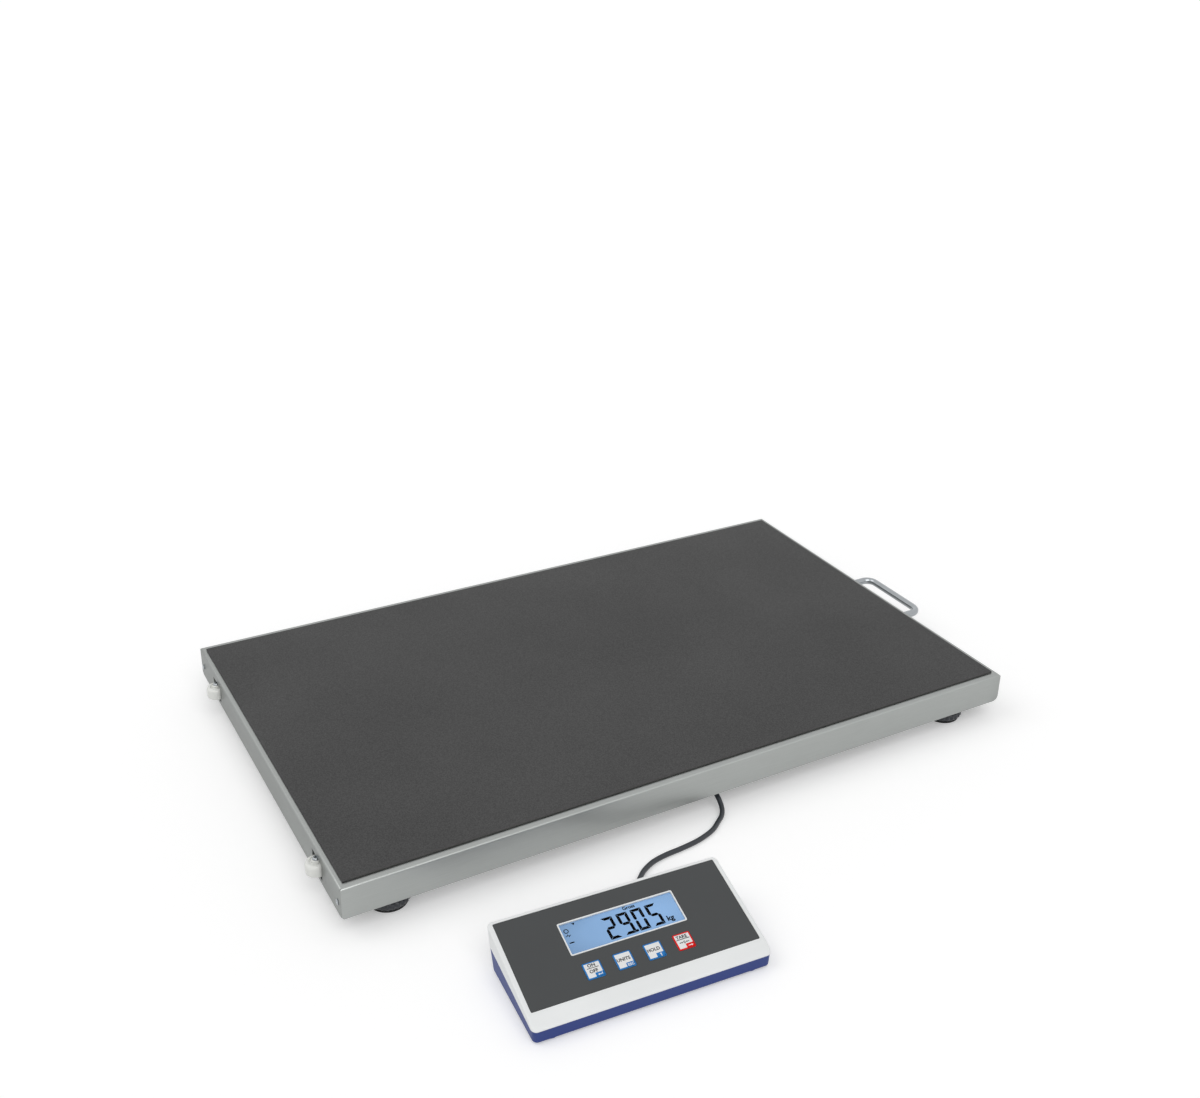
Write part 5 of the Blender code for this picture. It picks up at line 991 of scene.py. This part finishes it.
def creased_shell(rings, stops, steps=10):
    """Skin over housing rings whose two end faces are split into strips at the stops."""
    points, faces = skin(rings)
    count, columns = rings.shape[:2]
    right = np.arange(len(stops)) + steps + 1
    left = right[::-1] + 2 * (steps + 1) + len(stops)
    front = [*range(left[0], columns), *range(0, right[0] + 1)]
    back = list(range(right[-1], left[-1] + 1))
    strips = np.stack([right[:-1], right[1:], left[1:], left[:-1]], -1).tolist()
    ends = [front, back, *strips]
    last = (count - 1) * columns
    faces = faces[:-2] + [face[::-1] for face in ends] + [[last + i for i in face] for face in ends]
    return points, faces


def panel_slab(sides, radius, levels, steps=6):
    return placed(slab(sides, radius, levels, steps), PANEL)


def grown(sides, by):
    left, right, front, back = sides
    return (left - by, right + by, front - by, back + by)


FOIL_SIDES = (-FOIL_HALF_WIDTH, FOIL_HALF_WIDTH, FOIL_FRONT, FOIL_BACK)
WINDOW_SIDES = (-WINDOW_HALF_WIDTH, WINDOW_HALF_WIDTH, WINDOW_FRONT, WINDOW_BACK)


def key_sides(number, half):
    x = KEY_FIRST_X + number * KEY_PITCH
    return (x - half, x + half, KEY_Y - half, KEY_Y + half)


def key_openings(low, high):
    return [panel_slab(key_sides(k, KEY_HALF + GAP), KEY_CORNER + GAP, [(0, low), (0, high)])
            for k in range(len(KEY_NAMES))]


def add_cover(display):
    """Cover: rings up the wall and over a quarter round edge, then down inside. The film's
    recess is cut out, but for the window's rim, then the window and the keys' openings."""
    edge, wall, lip = display.edge, HOUSING_WALL, 0.0004
    above, below = 0.003, -0.006
    stops = CREASE_Y + np.linspace(-0.0015, 0.0015, 5)
    levels = [(wall, 0, 0, lambda y: top_z(y) - wall), (wall, 0, PARTING_BACK_INSET, parting_z),
              (lip, 0, PARTING_BACK_INSET, parting_z),
              (0, 0, PARTING_BACK_INSET * 0.97, lambda y: parting_z(y) + lip)]
    for out, up in quarter(edge, 0, 8):
        levels.append((edge - out, 0, 0, lambda y, d=edge - up: top_z(y) - d))
    shell = placed(creased_shell(housing_rings(levels, stops), stops), DISPLAY)
    recess = panel_slab(grown(FOIL_SIDES, GAP), 0.0015, [(0, -FOIL_THICKNESS - GAP), (0, above)])
    rim = panel_slab(grown(WINDOW_SIDES, RIM_WIDTH), 0.0016, [(0, -0.004), (0, 0.0001)])
    window = panel_slab(WINDOW_SIDES, 0.0008, [(0, below), (0, above)])
    add_piece("cover_shell", [shell], "white_plastic", nodes=["display_cover"],
              cut=[less(recess, rim), window, *key_openings(below, above)])


def add_base():
    """Base: rings down the wall and round the lower edge, with feet, screw wells, the battery
    pocket and the slot of its hatch."""
    wall, edge = HOUSING_WALL, BASE_EDGE
    high = parting_z
    floor = BASE_BOTTOM + wall
    reveal, back = BASE_REVEAL, BASE_BACK_INSET
    levels = [(reveal + wall, BASE_SIDE_INSET, back, lambda y: floor + 0 * y),
              (reveal + wall, 0, PARTING_BACK_INSET, lambda y: high(y) - GAP),
              (reveal, 0, PARTING_BACK_INSET, lambda y: high(y) - GAP)]
    for out, up in quarter(edge, -90, 6)[::-1]:
        levels.append((reveal + edge - out, BASE_SIDE_INSET, back,
                       lambda y, z=BASE_BOTTOM + edge + up: z + 0 * y))
    stops = CREASE_Y + np.array([-0.001, 0.001])
    shell = placed(creased_shell(housing_rings(levels, stops), stops), DISPLAY)
    hatch_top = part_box("battery_hatch")[1].z
    pocket, runner = (-0.0444, 0.0444, -0.007, 0.046), (-0.0503, 0.0503, -0.0118, 0.0484)
    slot, tongues = (-0.0477, 0.0477, -0.0103, 0.07), (-0.0488, 0.0488, -0.0103, 0.07)
    inside, outside = floor - wall / 2, BASE_BOTTOM / 2

    def block(sides, radius, low, high, steps=8):
        return placed(slab(sides, radius, [(0, low), (0, high)], steps), DISPLAY)

    joined = [block(grown(pocket, 0.0012), 0.001, inside, 0.0212),
              block(runner, 0.001, inside, hatch_top + 0.0018)]
    wells = []
    for x, y in ((x, y) for x in (-SCREW_X, SCREW_X) for y in SCREW_DEPTHS):
        at = DISPLAY @ Matrix.Translation((x, y, 0))
        bump = [(0.0062, 0), (0.007, 0.0004), (0.0085, 0.0015), (0.0085, BASE_BOTTOM + wall / 3)]
        joined.append(placed(turned(bump, 40), at))
        boss = [(0.0046, inside), (0.0046, float(parting_z(y)) - 0.002)]
        joined.append(placed(turned(boss, 32), at))
        wells.append(placed(turned([(0.003, -wall), (0.003, 0.0065)], 32), at))
    cut = [block(slot, 0.0005, outside, hatch_top + GAP, 2),
           block(tongues, 0.0003, hatch_top - 0.001, hatch_top + GAP, 2),
           block(pocket, 0.001, outside, 0.020)]
    bores = [placed(turned([(r, -0.006), (r, 0.003)], 32), rear_fitting(x))
             for x, r in ((SOCKET_X, 0.0061), (BOOT_X, 0.0045))]
    add_piece("base_shell", [shell], "blue_plastic", nodes=["display_base"], joined=joined,
              cut=[*cut, *wells, *bores])


def add_foil():
    """Printed film in the cover's recess, open at the window's rim and the keys."""
    through = 0.002
    film = panel_slab(FOIL_SIDES, 0.0012, [(0, -FOIL_THICKNESS), (0, -0.0001), (0.0001, 0)])
    window = panel_slab(grown(WINDOW_SIDES, RIM_WIDTH + GAP), 0.0018, [(0, -through), (0, through)])
    add_piece("foil", [film], "panel_foil", nodes=["panel_foil"],
              cut=[window, *key_openings(-through, through)])


SEGMENTS = {"A": ((0, 1), (1, 1)), "B": ((1, 0.5), (1, 1)), "C": ((1, 0), (1, 0.5)),
            "D": ((0, 0), (1, 0)), "E": ((0, 0), (0, 0.5)), "F": ((0, 0.5), (0, 1)),
            "G": ((0, 0.5), (1, 0.5))}
DIGITS = {"0": "ABCDEF", "2": "ABGED", "5": "AFGCD", "9": "ABCDFG"}


def bar(start, end, stroke, gap, outer=0, corners=(False, False)):
    """Bar between two points, pointed at 45 degrees at its ends. An end at a corner is cut by one
    slanting line instead, so that its outer side, 1 for left and -1 for right, runs on."""
    start, end = np.array(start, float), np.array(end, float)
    way = (end - start) / np.linalg.norm(end - start)
    half, side = stroke / 2, np.array([-way[1], way[0]]) * stroke / 2
    sides = []
    for point, out, cornered in ((start, -way, corners[0]), (end, way, corners[1])):
        right, left = (-outer * half, outer * half) if cornered else (-half, -half)
        sides.append((point + out * (right - gap) - side, point - out * gap,
                      point + out * (left - gap) + side))
    (right_0, tip_0, left_0), (right_1, tip_1, left_1) = sides
    return np.array([tip_0, right_0, right_1, tip_1, left_1, left_0])


def digit_outlines(digit, x, width, height, stroke, slant):
    """Bars of a seven-segment digit, leaning by slant times their height."""
    outlines = []
    for name in DIGITS[digit]:
        (x0, y0), (x1, y1) = SEGMENTS[name]
        outer = -np.sign((x1 - x0) * (0.5 - y0) - (y1 - y0) * (0.5 - x0))
        corners = (y0 in (0, 1), y1 in (0, 1))
        ends = [np.array(point) * (width, height) for point in SEGMENTS[name]]
        outline = bar(*ends, stroke, 0.0002, outer, corners)
        outlines.append(outline + np.stack([x + slant * outline[:, 1], 0 * outline[:, 1]], -1))
    return outlines


def add_screen(display):
    """Clear pane in the window, backlit glass under it, and the dark figures on that."""
    bottom, top, play = -HOUSING_WALL * math.cos(PANEL_TILT), -0.0002, 0.0001
    opening = grown(WINDOW_SIDES, -play)
    pane = panel_slab(opening, 0.0007, [(0, bottom), (0, top - play), (play, top)])
    add_piece("acrylic_pane", [pane], "window_clear", nodes=["window_pane"])
    glass = panel_slab(opening, 0.0006, [(0, LCD_TOP + 0.00002), (0, LCD_TOP + LCD_GLASS)])
    add_piece("lcd_glass", [glass], "lcd_blue")

    low, high = LCD_TOP + LCD_GLASS, LCD_TOP + LCD_GLASS + FIGURE_THICKNESS
    height, stroke = display.digit_height - display.digit_stroke, display.digit_stroke
    foot = 0.0039 + stroke / 2
    outlines = [outline + (0, foot) for digit, x in zip("2905", (-0.0169, -0.0003, 0.0157, 0.0321))
                for outline in digit_outlines(digit, x, 0.0090, height, stroke, -0.04)]
    dot = np.array([(-1, -1), (1, -1), (1, 1), (-1, 1)]) * 0.0014
    outlines.append(dot + (0.0113, foot))
    outlines.append(bar((-0.0598, 0.0144), (-0.0546, 0.0144), 0.0014, -0.0004))
    outlines.append(np.array([(-0.0493, 0.0360), (-0.0475, 0.0332), (-0.0457, 0.0360)]))
    zigzag = [(-0.0605, 0.0228), (-0.0589, 0.0228), (-0.0579, 0.0246), (-0.0569, 0.0218),
              (-0.0561, 0.0232), (-0.0549, 0.0232)]
    outlines += [bar(a, b, 0.0007, -0.0003) for a, b in zip(zigzag, zigzag[1:])]
    surfaces = [prism(outline, low, high) for outline in outlines]
    steps, inner = 32, 0.66
    ring = circle(0.0027, steps)
    section = ((1, low), (1, high), (inner, high), (inner, low), (1, low))
    points = np.stack([np.column_stack([ring * share + (-0.0578, 0.0288), np.full(steps, z)])
                       for share, z in section])
    surfaces.append((points.reshape(-1, 3), quads(len(section), steps, True).tolist()))
    surfaces.append(letters("kg", 0.0087, 0.0498, 0.0081, low, high - low))
    surfaces.append(letters("Gross", 0.0056, 0.0141, 0.0346, low, high - low))
    add_piece("lcd_figures", [placed(surface, PANEL) for surface in surfaces], "digit_ink",
              slot="lcd_blue")


def arrow(x, y, length, turn, head=0.0014, shaft=0.0004):
    """Arrow as one outline round its middle, pointing along turn degrees. Its head is as long
    as it is wide each way."""
    half = length / 2
    outline = np.array([(-half, -shaft), (half - head, -shaft), (half - head, -head), (half, 0),
                        (half - head, head), (half - head, shaft), (-half, shaft)])
    c, s = math.cos(math.radians(turn)), math.sin(math.radians(turn))
    return outline @ np.array([(c, s), (-s, c)]) + (x, y)


def key_print(name, x, low, high):
    """Dark words of a key, and the white sign on its coloured tab."""
    y, tab_x, tab_y = KEY_Y, x + 0.0046, KEY_Y - 0.0064
    rule = np.array([(-1, -0.06), (1, -0.06), (1, 0.06), (-1, 0.06)]) * 0.0062
    if name == "power":
        words = [("ON", 0.0052, x - 0.0005, y + 0.0055), ("OFF", 0.0052, x - 0.0005, y - 0.0014)]
        dark = [rule + (x, y + 0.0026)]
        white = [arrow(tab_x, tab_y, 0.0050, 180),
                 bar((tab_x + 0.0021, tab_y), (tab_x + 0.0021, tab_y + 0.0018), 0.0008, 0)]
    elif name == "unit":
        words, dark = [("UNITS", 0.0052, x - 0.0006, y + 0.0010)], []
        white = []
    elif name == "hold":
        words, dark = [("HOLD", 0.0051, x - 0.0007, y + 0.0010)], []
        white = [arrow(tab_x, tab_y, 0.0040, 90)]
    else:
        words = [("TARE", 0.0051, x - 0.0006, y + 0.0050), ("0", 0.0042, x - 0.0002, y - 0.0016)]
        dark = [rule * (1.2, 1) + (x - 0.0002, y + 0.0024),
                arrow(x - 0.0037, y - 0.0014, 0.0038, 0, 0.0011, 0.0004),
                arrow(x + 0.0033, y - 0.0014, 0.0038, 180, 0.0011, 0.0004)]
        white = [arrow(tab_x, tab_y, 0.0050, 0)]
    dark = [prism(outline, low, high) for outline in dark]
    dark += [letters(*word, low, high - low) for word in words]
    white = [prism(outline, low, high) for outline in white]
    if name == "unit":
        white.append(letters("ESC", 0.0042, tab_x - 0.0002, tab_y - 0.0001, low, high - low))
    return dark, white


def add_keys():
    """Keycaps with a rounded edge, a printed border and tab, and their words."""
    edge = KEY_EDGE
    for number, name in enumerate(KEY_NAMES):
        body, x, red = f"key_{name}", KEY_FIRST_X + number * KEY_PITCH, name == "zero"
        sides = key_sides(number, KEY_HALF)
        levels = [(0, LCD_TOP), (0, KEY_RISE - edge)]
        levels += [(edge - out, KEY_RISE - edge + up) for out, up in quarter(edge, 0, 4)[1:]]
        cap = slab(sides, KEY_CORNER, levels)
        stem = turned([(0.002, -0.0062), (0.002, LCD_TOP)], 24)
        stem = placed(stem, Matrix.Translation((x, KEY_Y, 0)))
        lip = slab(grown(sides, 0.001), KEY_CORNER, [(0, LCD_TOP - 0.0008), (0, LCD_TOP)])
        low, high = KEY_RISE, KEY_RISE + PRINT
        # The print wraps over the cap's rounded edge and a little way down its side
        over = [(-PRINT, low - 0.0008)]
        over += [(edge - out, low - edge + up) for out, up in quarter(edge + PRINT, 0, 4)]
        over += [(BORDER_WIDTH, high), (BORDER_WIDTH, low), (0.0004, low - 0.0005)]
        border = frame_ring(sides, KEY_CORNER, over)
        _, right, front, _ = grown(sides, -0.0006)
        tab = slab((x - 0.0002, right, front, KEY_Y - 0.0037), 0.0006, [(0, low), (0, high)], 4)
        dark, white = key_print(name, x, high, high + PRINT)
        for end, surfaces, look, slot, nodes in (
                ("", (cap, lip, stem), "key_white", "key_red" if red else "key_white", [body]),
                ("_border", (border, tab), "red_ink" if red else "blue_ink", "", ()),
                ("_words", dark, "text_ink", "", ()), ("_sign", white, "white_ink", "", ())):
            add_piece(f"keycap_{name}{end}", [placed(s, PANEL) for s in surfaces], look, body, slot,
                      nodes)


# Stage

def seen_directly(tree):
    """1 for rays that show a surface to the camera, straight, mirrored or through glass."""
    path = add(tree, "LightPath")
    seen = path.outputs["Is Camera Ray"]
    for ray in ("Is Glossy Ray", "Is Transmission Ray"):
        seen = add(tree, "Math", {0: seen, 1: path.outputs[ray]}, operation="MAXIMUM").outputs[0]
    return seen


def add_stage(stage):
    """Pale floor, soft light and the camera of the reference view."""
    reach, under = 30.0, 0.00005
    points = np.array([(-1, -1, 0), (1, -1, 0), (1, 1, 0), (-1, 1, 0)]) * (reach, reach, 1)
    floor = mesh_object("floor", [(points - (0, 0, under), [[0, 1, 2, 3]])])
    made, tree, shader = blank("painted_floor", stage.floor_colour, 0.9)
    lift = add(tree, "Math", {0: seen_directly(tree), 1: 0.25}, operation="MULTIPLY")
    glow = add(tree, "Emission", {"Color": (1, 1, 1, 1), "Strength": lift.outputs[0]})
    both = add(tree, "AddShader", {0: shader.outputs[0], 1: glow.outputs[0]})
    tree.links.new(both.outputs[0], tree.nodes["Material Output"].inputs["Surface"])
    floor.data.materials.append(made)

    world = bpy.data.worlds.new("studio")
    bpy.context.scene.world = world
    world.use_nodes = True
    tree = world.node_tree
    back = tree.nodes["Background"]
    back.inputs["Color"].default_value = (1, 1, 1, 1)
    tree.links.new(ranged(tree, seen_directly(tree), 0.5, 1.0), back.inputs["Strength"])

    # Two broad suns, named for the side they come from: the place counts only as a direction
    for name, place, strength, angle in (("front_sun", (-0.15, -0.65, 0.75), 1.0, 50),
                                         ("left_sun", (-0.6, 0.25, 0.75), 0.45, 40)):
        light = bpy.data.lights.new(name, "SUN")
        light.energy, light.angle = strength, math.radians(angle)
        lamp = bpy.data.objects.new(name, light)
        lamp.rotation_euler = (-Vector(place)).to_track_quat("-Z", "Y").to_euler()
        bpy.context.scene.collection.objects.link(lamp)

    camera = bpy.data.objects.new("camera", bpy.data.cameras.new("camera"))
    bpy.context.scene.collection.objects.link(camera)
    camera.location = MIDDLE + Vector((stage.camera_x, stage.camera_y, stage.camera_z))
    camera.rotation_euler = [math.radians(a) for a in CAMERA_TURN]
    camera.data.lens = stage.lens * 1000
    camera.data.sensor_width = 36
    # The image's centre is off the lens axis by these shares of its width
    width, height = IMAGE_SIZE
    camera.data.shift_x = (width / 2 - LENS_AXIS[0]) / width
    camera.data.shift_y = (LENS_AXIS[1] - height / 2) / width
    bpy.context.scene.camera = camera
    bpy.context.scene.view_settings.view_transform = "Standard"


# Operators

class Maker:
    """Runs an operator's make function on the chosen settings"""
    def execute(self, context):
        self.make(context.scene.livestock_scale)
        return {"FINISHED"}


class SCALE_OT_finishes(Maker, bpy.types.Operator):
    """Make the finishes and give them to the construction's own pieces"""
    bl_idname = "livestock_scale.finishes"
    bl_label = "Finishes"

    def make(self, chosen):
        make_finishes(chosen)
        for name, node in NODES.items():
            node.data.materials.clear()
            node.data.materials.append(rows_finish(name))


class SCALE_OT_stage(Maker, bpy.types.Operator):
    """Floor, lights and camera"""
    bl_idname = "livestock_scale.stage"
    bl_label = "Stage"

    def make(self, chosen):
        add_stage(chosen.stage)


class SCALE_OT_cable(Maker, bpy.types.Operator):
    """Free cable and the ribbed boot it runs into"""
    bl_idname = "livestock_scale.cable"
    bl_label = "Cable"

    def make(self, chosen):
        add_cable(chosen.cable)


class SCALE_OT_tray(Maker, bpy.types.Operator):
    """Folded stainless tray and its corner angles"""
    bl_idname = "livestock_scale.tray"
    bl_label = "Tray"

    def make(self, chosen):
        add_tray(chosen.steel)


class SCALE_OT_mat(Maker, bpy.types.Operator):
    """Rubber mat on the tray"""
    bl_idname = "livestock_scale.mat"
    bl_label = "Mat"

    def make(self, chosen):
        add_mat(chosen.rubber)


class SCALE_OT_feet(Maker, bpy.types.Operator):
    """Levelling wheels, studs and soles"""
    bl_idname = "livestock_scale.feet"
    bl_label = "Feet"

    def make(self, chosen):
        add_feet(chosen.foot)


class SCALE_OT_rollers(Maker, bpy.types.Operator):
    """Rollers and their shoulder screws"""
    bl_idname = "livestock_scale.rollers"
    bl_label = "Rollers"

    def make(self, chosen):
        add_rollers()


class SCALE_OT_handle(Maker, bpy.types.Operator):
    """Carrying handle and the rivets of the end walls"""
    bl_idname = "livestock_scale.handle"
    bl_label = "Handle and rivets"

    def make(self, chosen):
        add_handle(chosen.steel)
        add_rivets()


class SCALE_OT_housing(Maker, bpy.types.Operator):
    """Cover, base and rear socket of the display unit"""
    bl_idname = "livestock_scale.housing"
    bl_label = "Display housing"

    def make(self, chosen):
        add_cover(chosen.display)
        add_base()
        add_socket()


class SCALE_OT_panel(Maker, bpy.types.Operator):
    """Panel film, glass, figures and keys"""
    bl_idname = "livestock_scale.panel"
    bl_label = "Display panel"

    def make(self, chosen):
        add_foil()
        add_screen(chosen.display)
        add_keys()


OPERATORS = (SCALE_OT_finishes, SCALE_OT_stage, SCALE_OT_cable, SCALE_OT_tray, SCALE_OT_mat,
             SCALE_OT_feet, SCALE_OT_rollers, SCALE_OT_handle, SCALE_OT_housing, SCALE_OT_panel)


class SCALE_PT_sidebar(bpy.types.Panel):
    """Sizes, colours and operators of the platform scale"""
    bl_label = "Livestock Platform Scale"
    bl_space_type = "VIEW_3D"
    bl_region_type = "UI"
    bl_category = "Scale"

    def draw(self, context):
        chosen = context.scene.livestock_scale
        for name, group in GROUPS.items():
            box = self.layout.box()
            box.label(text=name.capitalize())
            for prop in group.__annotations__:
                box.prop(getattr(chosen, name), prop)
        for operator in OPERATORS:
            self.layout.operator(operator.bl_idname)


CLASSES = (*GROUPS.values(), ScaleSettings, *OPERATORS, SCALE_PT_sidebar)


def register():
    for cls in CLASSES:
        bpy.utils.register_class(cls)
    bpy.types.Scene.livestock_scale = PointerProperty(type=ScaleSettings)


def unregister():
    del bpy.types.Scene.livestock_scale
    for cls in reversed(CLASSES):
        bpy.utils.unregister_class(cls)


def main():
    register()
    for operator in OPERATORS:
        getattr(bpy.ops.livestock_scale, operator.bl_idname.split(".")[1])()


if __name__ == "__main__":
    main()
